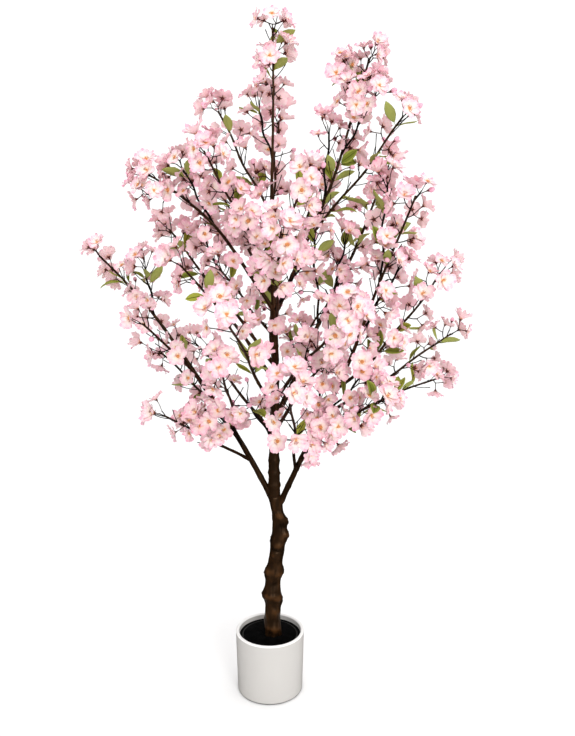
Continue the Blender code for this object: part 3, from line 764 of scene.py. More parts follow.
def tube_shape(points, radii, sides):
    """A round tube along points. radii holds one number, or one for each side, for each point."""
    line = np.array(points, dtype=float)
    step = np.gradient(line, axis=0)
    step /= np.linalg.norm(step, axis=1)[:, None]
    side = np.cross(step[0], (0.0, 0.0, 1.0))
    if np.linalg.norm(side) < NEARLY_UPRIGHT:
        side = np.cross(step[0], (1.0, 0.0, 0.0))
    turns = np.arange(sides) * 2.0 * math.pi / sides
    rings = []
    for centre, along, radius in zip(line, step, radii):
        side = side - along * side.dot(along)
        side /= np.linalg.norm(side)
        other = np.cross(along, side)
        ring = np.cos(turns)[:, None] * side + np.sin(turns)[:, None] * other
        rings.append(centre + ring * np.reshape(radius, (-1, 1)))
    rings.append(line[:1] - step[:1] * START_CAP * np.mean(radii[0]))
    rings.append(line[-1:] + step[-1:] * END_CAP * np.mean(radii[-1]))
    total = len(line) * sides
    quads, threes = ring_faces(np.arange(total).reshape(-1, sides), total, total + 1)
    return shape_of(np.concatenate(rings), quads, threes)


def disc_shape(rings, sides, slot):
    """A turned shape through (radius, height) rings, closed by a middle point at both ends."""
    turns = np.arange(sides) * 2.0 * math.pi / sides
    points = [np.array([[0.0, 0.0, rings[0][1]]])]
    for radius, height in rings[1:-1]:
        ring = (radius * np.cos(turns), radius * np.sin(turns), np.full(sides, height))
        points.append(np.stack(ring, axis=1))
    points.append(np.array([[0.0, 0.0, rings[-1][1]]]))
    corners = 1 + np.arange((len(rings) - 2) * sides).reshape(-1, sides)
    quads, threes = ring_faces(corners, 0, corners.max() + 1)
    return shape_of(np.concatenate(points), quads, threes, slot)


def grid_shape(cells, place, slot_of):
    """A sheet modelled from a square grid: place moves each corner, slot_of colours each face.

    Both are given how far across the sheet they are, from -1 to 1, and how far along, from 0 to 1.
    """
    deselect()
    bpy.ops.mesh.primitive_grid_add(x_subdivisions=cells, y_subdivisions=cells, size=2.0)
    sheet = bpy.context.object
    mesh = sheet.data
    slots = [slot_of(face.center.x, 0.5 * (face.center.y + 1.0)) for face in mesh.polygons]
    for vertex in mesh.vertices:
        vertex.co = Vector(place(round(vertex.co.x, 5), round(0.5 * (vertex.co.y + 1.0), 5)))
    points = [vertex.co for vertex in mesh.vertices]
    shape = shape_of(points, [list(face.vertices) for face in mesh.polygons])
    bpy.data.objects.remove(sheet, do_unlink=True)
    bpy.data.meshes.remove(mesh)
    return shape._replace(quad_slots=np.array(slots, dtype=np.int64))


# Modelling by operators


def deselect():
    """Clears the selection, which the operators act on."""
    bpy.ops.object.select_all(action="DESELECT")


def fresh(name):
    """Names the object that an operator has just added, and puts its place in its mesh."""
    item = bpy.context.object
    item.name = name
    item.data.name = name
    item.data.transform(item.matrix_world)
    item.matrix_world = Matrix.Identity(4)
    return item


def edit(item, mode="FACE"):
    """Opens an object in edit mode with nothing selected."""
    bpy.context.view_layer.objects.active = item
    item.select_set(True)
    bpy.ops.object.mode_set(mode="EDIT")
    bpy.ops.mesh.select_mode(type=mode)
    bpy.ops.mesh.select_all(action="DESELECT")


def done():
    """Leaves edit mode."""
    bpy.ops.object.mode_set(mode="OBJECT")


def pick(item, test, kind="polygons"):
    """Selects the faces or edges that pass a test, while the object is in edit mode."""
    done()
    for part in getattr(item.data, kind):
        part.select = bool(test(part))
    bpy.ops.object.mode_set(mode="EDIT")


def faces_up(face):
    """Whether a face looks up."""
    return face.normal.z > FLAT


def faces_down(face):
    """Whether a face looks down."""
    return face.normal.z < -FLAT


def finished(item, material, node, smooth):
    """Gives a modelled object its material and smooth shading, and puts it in a solid's place."""
    item.data.materials.clear()
    item.data.materials.append(material)
    deselect()
    item.select_set(True)
    bpy.context.view_layer.objects.active = item
    bpy.ops.object.shade_smooth_by_angle(angle=math.radians(smooth))
    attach(item, "root")
    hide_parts(node)
    return item


# Pot and filler

FLAT = 0.9
ON_RING_HEIGHT = 1e-4
ON_RING_RADIUS = 2e-4
LIP_ROUNDING = 0.0036
LIP_SEGMENTS = 6
FOOT_ROUNDING = 0.0040
FOOT_SEGMENTS = 5
POT_SMOOTH_ANGLE = 40.0

# The filler's top from its edge inwards: how wide each step is and how far it rises
FILLER_STEPS = (
    (0.006, 0.0),
    (0.0012, -0.0012),
    (0.0030, 0.0),
    (0.0012, 0.0010),
    (0.018, 0.0),
    (0.014, 0.0002),
    (0.010, 0.0006),
    (0.006, 0.0014),
)
# The ring in its top, as distances from the edge
FILLER_RING_OUT = 0.0072
FILLER_RING_IN = 0.0115
FILLER_SKIN = 0.01
FILLER_EVEN_EDGE = 0.004
FILLER_GRAIN = 0.0009
FILLER_GRAIN_SCALE = 70.0
FILLER_SMOOTH_ANGLE = 35.0


def inner_radius(height):
    """Radius of the pot's inside at a height."""
    share = height / POT_HEIGHT
    return POT_FOOT_RADIUS + (POT_RIM_RADIUS - POT_FOOT_RADIUS) * share - POT_WALL


def edge_on_ring(item, edge, height, radius):
    """Whether an edge lies on the ring with a height and a radius."""
    ends = [item.data.vertices[number].co for number in edge.vertices]
    level = all(abs(end.z - height) < ON_RING_HEIGHT for end in ends)
    return level and all(abs(end.xy.length - radius) < ON_RING_RADIUS for end in ends)


def make_pot():
    """A turned pot: its wall is inset and pushed down from the top face, its edges are rounded."""
    deselect()
    bpy.ops.mesh.primitive_cylinder_add(
        vertices=POT_SIDES, radius=POT_RIM_RADIUS, depth=POT_HEIGHT, location=(0, 0, POT_HEIGHT / 2)
    )
    pot = fresh("pot_glazed")
    edit(pot)
    pick(pot, faces_down)
    foot = POT_FOOT_RADIUS / POT_RIM_RADIUS
    bpy.ops.transform.resize(value=(foot, foot, 1.0))
    pick(pot, faces_up)
    bpy.ops.mesh.inset(thickness=POT_WALL, depth=0.0)
    bpy.ops.mesh.extrude_region_move(TRANSFORM_OT_translate={"value": (0, 0, POT_FLOOR - POT_HEIGHT)})
    shrink = inner_radius(POT_FLOOR) / (POT_RIM_RADIUS - POT_WALL)
    bpy.ops.transform.resize(value=(shrink, shrink, 1.0))
    for height, radius, width, segments in (
        (POT_HEIGHT, POT_RIM_RADIUS, LIP_ROUNDING, LIP_SEGMENTS),
        (POT_HEIGHT, POT_RIM_RADIUS - POT_WALL, LIP_ROUNDING, LIP_SEGMENTS),
        (0.0, POT_FOOT_RADIUS, FOOT_ROUNDING, FOOT_SEGMENTS),
    ):
        done()
        edit(pot, "EDGE")
        pick(pot, lambda edge: edge_on_ring(pot, edge, height, radius), "edges")
        bpy.ops.mesh.bevel(offset=width, segments=segments, profile=0.5, affect="EDGES")
    done()
    finished(pot, glaze_material(), "pot", POT_SMOOTH_ANGLE)


def make_filler():
    """The plug in the pot, with a shallow step near its edge and a slight rise round the trunk."""
    deselect()
    radius = inner_radius(FILLER_TOP) - SEAT_GAP
    low = POT_FLOOR + SEAT_GAP
    bpy.ops.mesh.primitive_cylinder_add(
        vertices=POT_SIDES, radius=radius, depth=FILLER_TOP - low, location=(0, 0, (FILLER_TOP + low) / 2)
    )
    filler = fresh("filler_plug")
    edit(filler)
    pick(filler, faces_down)
    shrink = (inner_radius(low) - SEAT_GAP) / radius
    bpy.ops.transform.resize(value=(shrink, shrink, 1.0))
    pick(filler, faces_up)
    for inset, lift in FILLER_STEPS:
        bpy.ops.mesh.inset(thickness=inset, depth=0.0)
        bpy.ops.transform.translate(value=(0, 0, lift))
    done()
    for vertex in filler.data.vertices:
        on_top = vertex.co.z > FILLER_TOP - FILLER_SKIN
        if on_top and vertex.co.xy.length < radius - FILLER_EVEN_EDGE:
            vertex.co.z += FILLER_GRAIN * noise.noise(vertex.co * FILLER_GRAIN_SCALE)
    finished(filler, filler_material(), "filler", FILLER_SMOOTH_ANGLE)
    # Partly a painted highlight: the groove's upward faces take a lighter colour that stands in for the
    # glint along its edge.
    filler.data.materials.append(new_material("filler_ring", colours().ring, 0.6))
    for face in filler.data.polygons:
        out = face.center.xy.length
        if face.normal.z > 0.5 and radius - FILLER_RING_IN < out < radius - FILLER_RING_OUT:
            face.material_index = 1


# Bark

TRUNK_SIDES = 84
TRUNK_RINGS = 210
TRUNK_BLANK = 0.02
TRUNK_BELOW = 0.002
TRUNK_ABOVE = 0.010
TRUNK_TOP_INSETS = (0.003, 0.005, 0.005)
TRUNK_SMOOTH_ANGLE = 60.0
CLOSING_BELOW = 0.004
CLOSING_SPAN = 0.014
CLOSING_LEAST = 0.02

BROAD_GRAIN = 38.0
BROAD_GRAIN_UP = 26.0
FINE_GRAIN = 95.0
FINE_GRAIN_UP = 60.0
FINE_GRAIN_SHIFT = 5.0
FINE_SHARE = 0.30
FLOW_AROUND = 1.4
FLOW_UP = 9.0
RIDGES = 7.0
RIDGE_SHARE = 0.2
RIDGE_FLOW = 9.0
FOLD_TURN = 50.0
FOLD_SPAN = 0.013
FOLD_DEPTH = 0.0011
FOLD_PITCH = 0.0062
FOLD_FLOW = 0.0025
TOES = 5.0
TOE_HEIGHT = 0.020
TOE_DEPTH = 0.0022
TOE_DROP = 0.0034
TOE_PHASE = 0.8
TOE_FLOW = 2.0

LENGTH_STEPS = 40
LEADER_STEP = 0.006
LIMB_STEP = 0.009
LEAST_STEPS = 12
LEADER_SIDES = 28
BOUGH_SIDES = 12
SIDE_TWIG_SIDES = 8
COLLAR_SWELL = 0.22
COLLAR_SPAN = 0.014
FIRST_NODE = (0.02, 0.05)
NODE_GAPS = (0.030, 0.060)
NODE_SWELL = 0.16
NODE_SPAN = 0.0045
UNEVEN_AROUND = 2.2
UNEVEN_ALONG = 42.0
UNEVEN = 0.11
UNEVEN_FINE = 0.05
UNEVEN_FINE_SCALE = 2.7


def trunk_relief(point, angle):
    """How far the moulded bark stands out at a place: lumps, folds over the knots, root toes."""
    depth = sizes().bark_lump
    x, y, z = point
    out = depth * noise.noise(Vector((x * BROAD_GRAIN, y * BROAD_GRAIN, z * BROAD_GRAIN_UP)))
    fine = Vector((x * FINE_GRAIN, y * FINE_GRAIN, z * FINE_GRAIN_UP + FINE_GRAIN_SHIFT))
    out += FINE_SHARE * depth * noise.noise(fine)
    around = (math.cos(angle) * FLOW_AROUND, math.sin(angle) * FLOW_AROUND)
    flow = noise.noise(Vector((*around, z * FLOW_UP)))
    out += RIDGE_SHARE * depth * math.sin(RIDGES * angle + RIDGE_FLOW * flow)
    for knot in KNOTS:
        near = side_bell(angle, knot.azimuth, FOLD_TURN) * bell(z - knot.height, FOLD_SPAN)
        out += FOLD_DEPTH * near * math.sin((z + FOLD_FLOW * flow) * 2.0 * math.pi / FOLD_PITCH)
    for lump in LUMPS:
        near = side_bell(angle, lump.azimuth, LUMP_TURN)
        out += lump.bulge * near * bell(z - lump.height, LUMP_SPAN)
    toe = TOE_DEPTH * math.cos(TOES * angle + TOE_PHASE + TOE_FLOW * flow) - TOE_DROP
    return out + toe * math.exp(-(z - TRUNK_FOOT) / TOE_HEIGHT)


def make_trunk():
    """The trunk: a cylinder cut into rings, each pushed out to the knots, the flare and the bark."""
    deselect()
    low = FILLER_TOP - TRUNK_BELOW
    high = FORK_HEIGHT + TRUNK_ABOVE
    bpy.ops.mesh.primitive_cylinder_add(
        vertices=TRUNK_SIDES, radius=TRUNK_BLANK, depth=high - low, location=(0, 0, (high + low) / 2)
    )
    trunk = fresh("trunk_bark")
    edit(trunk, "EDGE")

    def upright(edge):
        first, second = [trunk.data.vertices[number].co for number in edge.vertices]
        return abs(first.z - second.z) > 0.5 * (high - low)

    pick(trunk, upright, "edges")
    bpy.ops.mesh.subdivide(number_cuts=TRUNK_RINGS)
    pick(trunk, lambda face: False)
    bpy.ops.mesh.select_mode(type="FACE")
    pick(trunk, faces_up)
    for inset in TRUNK_TOP_INSETS:
        bpy.ops.mesh.inset(thickness=inset, depth=0.0)
    done()
    reliefs = []
    for vertex in trunk.data.vertices:
        height = vertex.co.z
        share = (height - TRUNK_FOOT) / (FORK_HEIGHT - TRUNK_FOOT)
        axis = trunk_axis(max(0.0, min(1.0, share)))
        angle = math.atan2(vertex.co.y, vertex.co.x)
        x, y = math.cos(angle), math.sin(angle)
        spot = Vector((axis.x + TRUNK_BLANK * x, TRUNK_BLANK * y, height))
        reliefs.append(trunk_relief(spot, angle))
        radius = trunk_radius(max(TRUNK_FOOT, height), angle) + reliefs[-1]
        closing = max(0.0, (height - FORK_HEIGHT + CLOSING_BELOW) / CLOSING_SPAN)
        radius *= math.sqrt(max(CLOSING_LEAST, 1.0 - closing**2))
        radius *= vertex.co.xy.length / TRUNK_BLANK
        vertex.co = Vector((axis.x + x * radius, y * radius, height))
    trunk.data.attributes.new("relief", "FLOAT", "POINT").data.foreach_set("value", reliefs)
    material = bark_material("bark_trunk", upright=0.55, warmth=1.0, relief=True)
    finished(trunk, material, "trunk", TRUNK_SMOOTH_ANGLE)


@functools.cache
def limb_line(name):
    """Centre, radius and share of a limb at close steps from its fork to its tip."""
    length = sum(line_steps([plume_point(name, i / LENGTH_STEPS) for i in range(LENGTH_STEPS + 1)]))
    count = max(LEAST_STEPS, round(length / (LEADER_STEP if name == "leader" else LIMB_STEP)))
    shares = [i / count for i in range(count + 1)]
    points = [plume_point(name, share) for share in shares]
    return points, [plume_radius(name, share) for share in shares], shares


def limb_shape(name, sides):
    """One limb with a collar at its fork, nodes along it and uneven bark."""
    points, radii, _ = limb_line(name)
    rng = random.Random(name)
    length = sum(line_steps(points))
    nodes = []
    place = rng.uniform(*FIRST_NODE)
    while place < length:
        nodes.append(place)
        place += rng.uniform(*NODE_GAPS)
    turns = np.arange(sides) * 2.0 * math.pi / sides
    walk = 0.0
    rows = []
    for step, radius in zip([0.0] + line_steps(points), radii):
        walk += step
        swell = 1.0 + COLLAR_SWELL * math.exp(-walk / COLLAR_SPAN) * (name != "leader")
        for node in nodes:
            swell += NODE_SWELL * bell(walk - node, NODE_SPAN)
        uneven = []
        for turn in turns:
            around = (UNEVEN_AROUND * math.cos(turn), UNEVEN_AROUND * math.sin(turn))
            spot = Vector((*around, walk * UNEVEN_ALONG))
            fine = UNEVEN_FINE * noise.noise(spot * UNEVEN_FINE_SCALE)
            uneven.append(1.0 + UNEVEN * noise.noise(spot) + fine)
        rows.append((radius + STEM_COVER) * swell * np.array(uneven))
    return tube_shape(points, rows, sides)


def make_limbs():
    """The leader and all the boughs, each one tapering limb from its fork to its tip."""
    leader = Heap()
    leader.add(limb_shape("leader", LEADER_SIDES))
    material = bark_material("bark_leader", upright=0.3, warmth=0.8)
    leader.piece("leader_bark", [material], ["leader"])
    boughs = Heap()
    for name in PLUMES:
        if name != "leader":
            boughs.add(limb_shape(name, BOUGH_SIDES))
    material = bark_material("bark_bough", upright=0.6, warmth=0.7)
    boughs.piece("boughs_bark", [material], BOUGH_NODES)


# The crown's plan: where each spray, flower and leaf goes

FULL_TURN = 6.28
TINTS = (0, 0, 1, 1, 2)

# How near flowers come to limbs and to each other, the first four in shares of a flower's radius
FLOWER_TOP = 0.8
FLOWER_BODY = 0.45
RIM_LIFT = 0.25
RIM_REACH = 0.9
RIM_SPOTS = 6
RIM_CLEARANCE = 0.0015
LEAST_GAP = 0.0185
STACKED_GAP = 0.029
STACKED_DEPTH = 0.009
SPRAY_GAP = 0.022
LIMB_SPOTS = 60

# Flowers along a stem
STRAY_FULLNESS = 0.3
LEAST_JOINTS = 5
END_FROM = 0.99
END_STEP = 0.02
END_FLOWERS = 2
AXIS_STEP = 0.01

# Spurs
SPRAY_TRIES = 5
SPUR_SWAY = 0.5
SPUR_SWAY_GROWS = 0.5
SPUR_RISE = 0.10
SPUR_LENGTHS = (0.6, 1.35)
SPUR_DROOP = 0.15
SPUR_SHARE = 0.6
SPUR_THIN = 0.0014
SPUR_THICK = 0.0019
TWIG_CLEARANCE = 0.006

# Flowers on a spur
BUD_SHARE = 0.07
BUD_RADIUS = 0.3
FLOWER_TRIES = 7
STALK_LEANS = (0.55, 1.05)
LONE_LEAN = 0.2
STALK_SWAY = 0.4
STALK_LENGTHS = (0.75, 1.2)
FACE_OUTWARD = 0.30
FACE_UP = 0.05
FACE_SWAY = 0.30
FLOWER_RADII = (0.84, 1.12)
MIDDLE_RADIUS = 0.03

# Bare twiglets
TWIGLET_TRIES = 4
TWIGLET_SWAY = 1.2
TWIGLET_LEANS = (0.5, 0.9)
TWIGLET_LENGTHS = (0.030, 0.055)
TWIGLET_RISE = 0.010
TWIGLET_RADIUS = 0.0011

# Leaves
LEAF_COUNTS = (0, 0, 0, 1, 2)
LEAF_TRIES = 6
LEAF_FAN = 1.9
LEAF_SWAY = 0.5
LEAF_LEANS = (0.6, 1.25)
LEAF_LENGTHS = (0.75, 1.12)
LEAF_START = 0.010
LEAF_TIP_CLEARANCE = 0.004
LEAF_MIDDLE_CLEARANCE = 0.010
LEAF_SEAT = 0.6


class Flower(NamedTuple):
    """An open flower or a bud at the end of its stalk."""

    root: Vector
    tip: Vector
    facing: Vector
    radius: float
    turn: float
    kind: int
    tint: int


class Leaf(NamedTuple):
    """A leaf: where it starts, which way it points and leans, its length, form and green."""

    root: Vector
    direction: Vector
    side: Vector
    length: float
    kind: int
    tint: int


class Spur(NamedTuple):
    """A short twig through three points."""

    points: tuple
    radius: float


class Crown:
    """Grows the sprays along the stems and keeps them out of each other's way."""

    def __init__(self):
        self.flowers = []
        self.leaves = []
        self.spurs = []
        self.plan_limbs()
        for name in STEMS:
            self.grow(name)

    def plan_limbs(self):
        """Keeps places along all limbs and the trunk, with the radius there."""
        spots = []
        for name in STEMS:
            points, radii, _ = limb_line(name)
            spots += list(zip(points, radii))
        spots += [(trunk_axis(i / LIMB_SPOTS), TRUNK_FOOT_RADIUS) for i in range(LIMB_SPOTS + 1)]
        self.limb_radii = [radius for _, radius in spots]
        self.limbs = kdtree.KDTree(len(spots))
        for number, (point, _) in enumerate(spots):
            self.limbs.insert(point, number)
        self.limbs.balance()

    def clear_of_limbs(self, point, gap):
        """Whether a point is farther than a gap from the limb that is nearest."""
        _, number, distance = self.limbs.find(point)
        return distance > self.limb_radii[number] + gap

    def flower_fits(self, centre, facing, radius):
        """Whether a flower stays below the crown's top and clear of limbs and other flowers."""
        if centre.z + FLOWER_TOP * radius > CROWN_TOP:
            return False
        if not self.clear_of_limbs(centre, FLOWER_BODY * radius):
            return False
        side = facing.orthogonal().normalized()
        other = facing.cross(side)
        for number in range(RIM_SPOTS):
            angle = number * 2.0 * math.pi / RIM_SPOTS
            rim = centre + facing * RIM_LIFT * radius
            rim += (side * math.cos(angle) + other * math.sin(angle)) * radius * RIM_REACH
            if not self.clear_of_limbs(rim, RIM_CLEARANCE):
                return False
        for old in self.flowers:
            apart = centre - old.tip
            stacked = abs(apart.dot(old.facing)) < STACKED_DEPTH
            if apart.length < LEAST_GAP or (apart.length < STACKED_GAP and stacked):
                return False
        return True

    def grow(self, name):
        """The sprays, twiglets and leaves of a stem, from its bare part to its tip."""
        rng = random.Random(SEED + 100 * list(STEMS).index(name))
        bare = STEMS[name].bare
        fullness = FULLNESS.get(name, USUAL_FULLNESS)
        open_from, open_to = OPEN_STRETCHES.get(name, (1.0, 1.0))
        points, _, shares = limb_line(name)
        walks = np.concatenate(([0.0], np.cumsum(line_steps(points))))
        begin = float(np.interp(bare, shares, walks))
        length = walks[-1] - begin
        bottom = (BARE_START if bare > 0.0 else BARE_FORK) / length
        count = max(LEAST_JOINTS, round(length * (1.0 - bottom) / JOINT_STEP))
        turn = rng.uniform(0.0, 2.0 * math.pi)
        phase = rng.randrange(SPRAY_JOINTS + OPEN_JOINTS)
        for number in range(count):
            walk = begin + (bottom + (LAST_SPRAY - bottom) * (number + 0.5) / count) * length
            turn += GOLDEN_ANGLE
            root = self.stem_root(name, walk, walks)
            place = (number + phase) % (SPRAY_JOINTS + OPEN_JOINTS)
            if place >= SPRAY_JOINTS or open_from < float(np.interp(walk, walks, shares)) < open_to:
                self.grow_leaves(rng, root, turn + math.pi, rng.choice(LEAF_COUNTS))
                self.grow_twiglet(rng, root, turn)
                self.grow_spray(rng, root, turn, SIDE_TILT, 1, STRAY_FULLNESS * fullness)
            else:
                self.grow_spray(rng, root, turn, SIDE_TILT, sizes().spray_flowers, fullness)
        for number in range(END_SPRAYS):
            root = self.stem_root(name, begin + (END_FROM - END_STEP * number) * length, walks)
            turn += 2.0 * math.pi / END_SPRAYS
            self.grow_spray(rng, root, turn, END_TILT, END_FLOWERS, fullness)

    def stem_root(self, name, walk, walks):
        """Place, direction and radius of a stem after a walk along it."""
        share = float(np.interp(walk, walks, limb_line(name)[2]))
        ahead = plume_point(name, min(1.0, share + AXIS_STEP))
        behind = plume_point(name, max(0.0, share - AXIS_STEP))
        return plume_point(name, share), (ahead - behind).normalized(), plume_radius(name, share)

    def grow_spray(self, rng, root, turn, tilt, most, fullness):
        """A spur from the stem with a fan of flowers at its end."""
        anchor, axis, thickness = root
        tint = rng.choice(TINTS)
        most = math.floor(most * fullness + rng.random())
        if most < 1:
            return
        best_hub, best = None, []
        for attempt in range(SPRAY_TRIES):
            sway = rng.uniform(-SPUR_SWAY, SPUR_SWAY) * (1 + SPUR_SWAY_GROWS * attempt)
            direction = spread(axis, turn + sway, tilt)
            direction = (direction + Vector((0, 0, SPUR_RISE))).normalized()
            reach = sizes().spur_length * rng.uniform(*SPUR_LENGTHS)
            hub = anchor + direction * (reach + thickness)
            if not self.clear_of_limbs(hub, TWIG_CLEARANCE):
                continue
            found = self.fan(rng, hub, direction, most, tint)
            if len(found) > len(best):
                best_hub, best = hub, found
            if len(best) == most:
                break
        if not best:
            return
        middle = anchor.lerp(best_hub, 0.5) - axis * SPUR_DROOP * (best_hub - anchor).length
        radius = max(SPUR_THIN, min(SPUR_THICK, SPUR_SHARE * thickness))
        self.spurs.append(Spur((anchor, middle, best_hub), radius))
        self.flowers += best

    def fan(self, rng, hub, direction, most, tint):
        """Flowers on stalks that spread from the end of a spur."""
        found = []
        count = max(1, rng.choice((most - 1, most, most)))
        start = rng.uniform(0.0, 2.0 * math.pi)
        outward = Vector((hub.x, hub.y, 0.0))
        outward = outward.normalized() if outward.length > MIDDLE_RADIUS else Vector((0, 0, 1))
        for number in range(count):
            bud = rng.random() < BUD_SHARE
            for _ in range(FLOWER_TRIES):
                lean = rng.uniform(*STALK_LEANS) if count > 1 else LONE_LEAN
                side = start + 2.0 * math.pi * number / count + rng.uniform(-STALK_SWAY, STALK_SWAY)
                way = spread(direction, side, lean)
                span = sizes().pedicel_length * rng.uniform(*STALK_LENGTHS)
                facing = way + outward * FACE_OUTWARD + Vector((0, 0, FACE_UP))
                facing += Vector([rng.uniform(-1, 1) for _ in range(3)]) * FACE_SWAY
                facing.normalize()
                radius = sizes().flower_radius * rng.uniform(*FLOWER_RADII)
                centre = hub + way * span
                if not self.flower_fits(centre, facing, BUD_RADIUS * radius if bud else radius):
                    continue
                if any((centre - other.tip).length < SPRAY_GAP for other in found):
                    continue
                kind = len(FLOWER_KINDS) if bud else rng.randrange(len(FLOWER_KINDS))
                spin = rng.uniform(0, FULL_TURN)
                found.append(Flower(hub, centre, facing, radius, spin, kind, tint))
                break
        return found

    def grow_twiglet(self, rng, root, turn):
        """A thin bare twig that curves up from a joint."""
        anchor, axis, _ = root
        for _ in range(TWIGLET_TRIES):
            side = turn + rng.uniform(-TWIGLET_SWAY, TWIGLET_SWAY)
            direction = spread(axis, side, rng.uniform(*TWIGLET_LEANS))
            tip = anchor + direction * rng.uniform(*TWIGLET_LENGTHS) + Vector((0, 0, TWIGLET_RISE))
            if self.clear_of_limbs(tip, TWIG_CLEARANCE):
                middle = anchor + direction * 0.5 * (tip - anchor).length
                self.spurs.append(Spur((anchor, middle, tip), TWIGLET_RADIUS))
                return

    def grow_leaves(self, rng, root, turn, count):
        """A tuft of leaves from one joint of the stem."""
        anchor, axis, thickness = root
        tint = rng.choice(TINTS)
        for number in range(count):
            for _ in range(LEAF_TRIES):
                around = turn + LEAF_FAN * number + rng.uniform(-LEAF_SWAY, LEAF_SWAY)
                way = spread(axis, around, rng.uniform(*LEAF_LEANS))
                side = Vector((rng.uniform(-1, 1), rng.uniform(-1, 1), rng.uniform(-0.3, 0.3)))
                span = sizes().leaf_length * rng.uniform(*LEAF_LENGTHS)
                tip = anchor + way * (span + LEAF_START)
                middle = anchor + way * (0.5 * span + LEAF_START)
                tip_clear = self.clear_of_limbs(tip, LEAF_TIP_CLEARANCE)
                if tip_clear and self.clear_of_limbs(middle, LEAF_MIDDLE_CLEARANCE):
                    start = anchor + way * thickness * LEAF_SEAT
                    kind = rng.randrange(len(LEAF_KINDS))
                    self.leaves.append(Leaf(start, way, side, span, kind, tint))
                    break


@functools.cache
def crown():
    """The crown's plan, which the twigs, blossom and leaves share."""
    return Crown()


# Twigs

SPUR_SHARES = (0, 0.34, 0.67, 1)
SPUR_SWELLS = (1.25, 1.0, 0.95, 1.15)
SPUR_SIDES = 6
STALK_SHARES = (0, 0.3, 0.6, 1)
STALK_SWELLS = (1.1, 1.0, 1.0, 1.5)
STALK_SIDES = 4
STALK_BEND = 0.45


def make_twigs():
    """Spurs and side twigs, and the stalk of every flower, curved from its spur to its back."""
    twigs = Heap()
    for spur in crown().spurs:
        line = [arc(*spur.points, share) for share in SPUR_SHARES]
        twigs.add(tube_shape(line, [spur.radius * swell for swell in SPUR_SWELLS], SPUR_SIDES))
    for name in SIDE_TWIGS:
        twigs.add(limb_shape(name, SIDE_TWIG_SIDES))
    material = twig_material("brown_twig", Vector(colours().twig))
    twigs.piece("twigs", [material])
    stalks = Heap()
    radii = [sizes().pedicel_radius * swell for swell in STALK_SWELLS]
    for flower in crown().flowers:
        bend = flower.tip - flower.facing * STALK_BEND * (flower.tip - flower.root).length
        line = [arc(flower.root, bend, flower.tip, share) for share in STALK_SHARES]
        stalks.add(tube_shape(line, radii, STALK_SIDES))
    material = twig_material("brown_pedicel", Vector(colours().pedicel))
    stalks.piece("flower_stalks", [material])


# Blossom, in shares of a flower's radius

# Colours of a flower's parts. The first six come in three tints
THROAT, WHITE, BLUSH, PINK, RIM, OUTSIDE, HEART, FILAMENT, ANTHER, BACK, CALYX = range(11)
TINTED = ("throat", "white", "blush", "pink", "rim", "outside")
TINT_STRENGTHS = (("pale", 1.04), ("mid", 1.0), ("deep", 0.93))
BRIGHTEST = 0.97

PETAL_ROWS = (0.0, 0.24, 0.48, 0.74, 1.0)
PETAL_WIDTHS = (0.34, 0.66, 0.93, 1.0, 0.70)
# How far the petal's tip falls back in the middle, beside it and at the corners
PETAL_TIP = (0.03, 0.0, 0.10)
# Colours of a petal's rows from the throat to the tip: in the middle, and at the sides
PETAL_SLOTS = ((THROAT, THROAT), (WHITE, WHITE), (BLUSH, PINK), (PINK, RIM))
# Colours of its back behind THROAT, WHITE, BLUSH, PINK and RIM
PETAL_BACKS = np.array((BACK, OUTSIDE, OUTSIDE, BLUSH, PINK))
PETAL_THICKNESS = 0.012
PETAL_CUP = 0.20
PETAL_RUFFLE = 0.045
PETAL_RUFFLES = 3.0
PETAL_TWIST = 0.12
PETAL_TWIST_EASE = 0.4
PETAL_SIZES = (0.90, 1.07)
PETAL_SPREADS = (0.88, 1.12)
PETAL_RISES = (-0.12, 0.14)
PETAL_SWAY = 0.14
PETAL_LAP = 0.03
OUTER_SIZE = 0.98
INNER_SIZE = 0.70
INNER_LIFT = 0.05
INNER_TURN = 2.5

HEART_RINGS = ((0.0, 0.0), (0.20, 0.06), (0.12, 0.11), (0.0, 0.12))
CALYX_RINGS = ((0.0, -0.30), (0.055, -0.28), (0.10, -0.13), (0.15, -0.03), (0.0, -0.02))
BUD_RINGS = ((0.0, 0.0), (0.14, 0.02), (0.235, 0.16), (0.215, 0.34), (0.11, 0.50), (0.0, 0.54))
BUD_CUP_RINGS = ((0.0, -0.20), (0.06, -0.18), (0.11, -0.05), (0.17, 0.07), (0.0, 0.05))
BUD_SWIRL = 1.6
HEART_SIDES = 7
BACK_SIDES = 8
BUD_SIDES = 7
BUD_CUP_SIDES = 6
# The star on the petals' backs: along and across each sepal, and its height
SEPALS = 5
SEPAL_CORNERS = ((0.08, -0.10, -0.075), (0.08, 0.10, -0.075), (0.42, 0.0, 0.0), (0.20, 0.0, -0.075))

THREADS = 7
THREAD_SWAY = 0.2
THREAD_LEANS = (0.15, 0.65)
THREAD_LENGTHS = (0.20, 0.32)
THREAD_START = 0.05
THREAD_FOOT = 0.010
THREAD_END = 0.008
ANTHER_SIZE = 0.028

TIERS = ("low", "middle", "upper", "top")


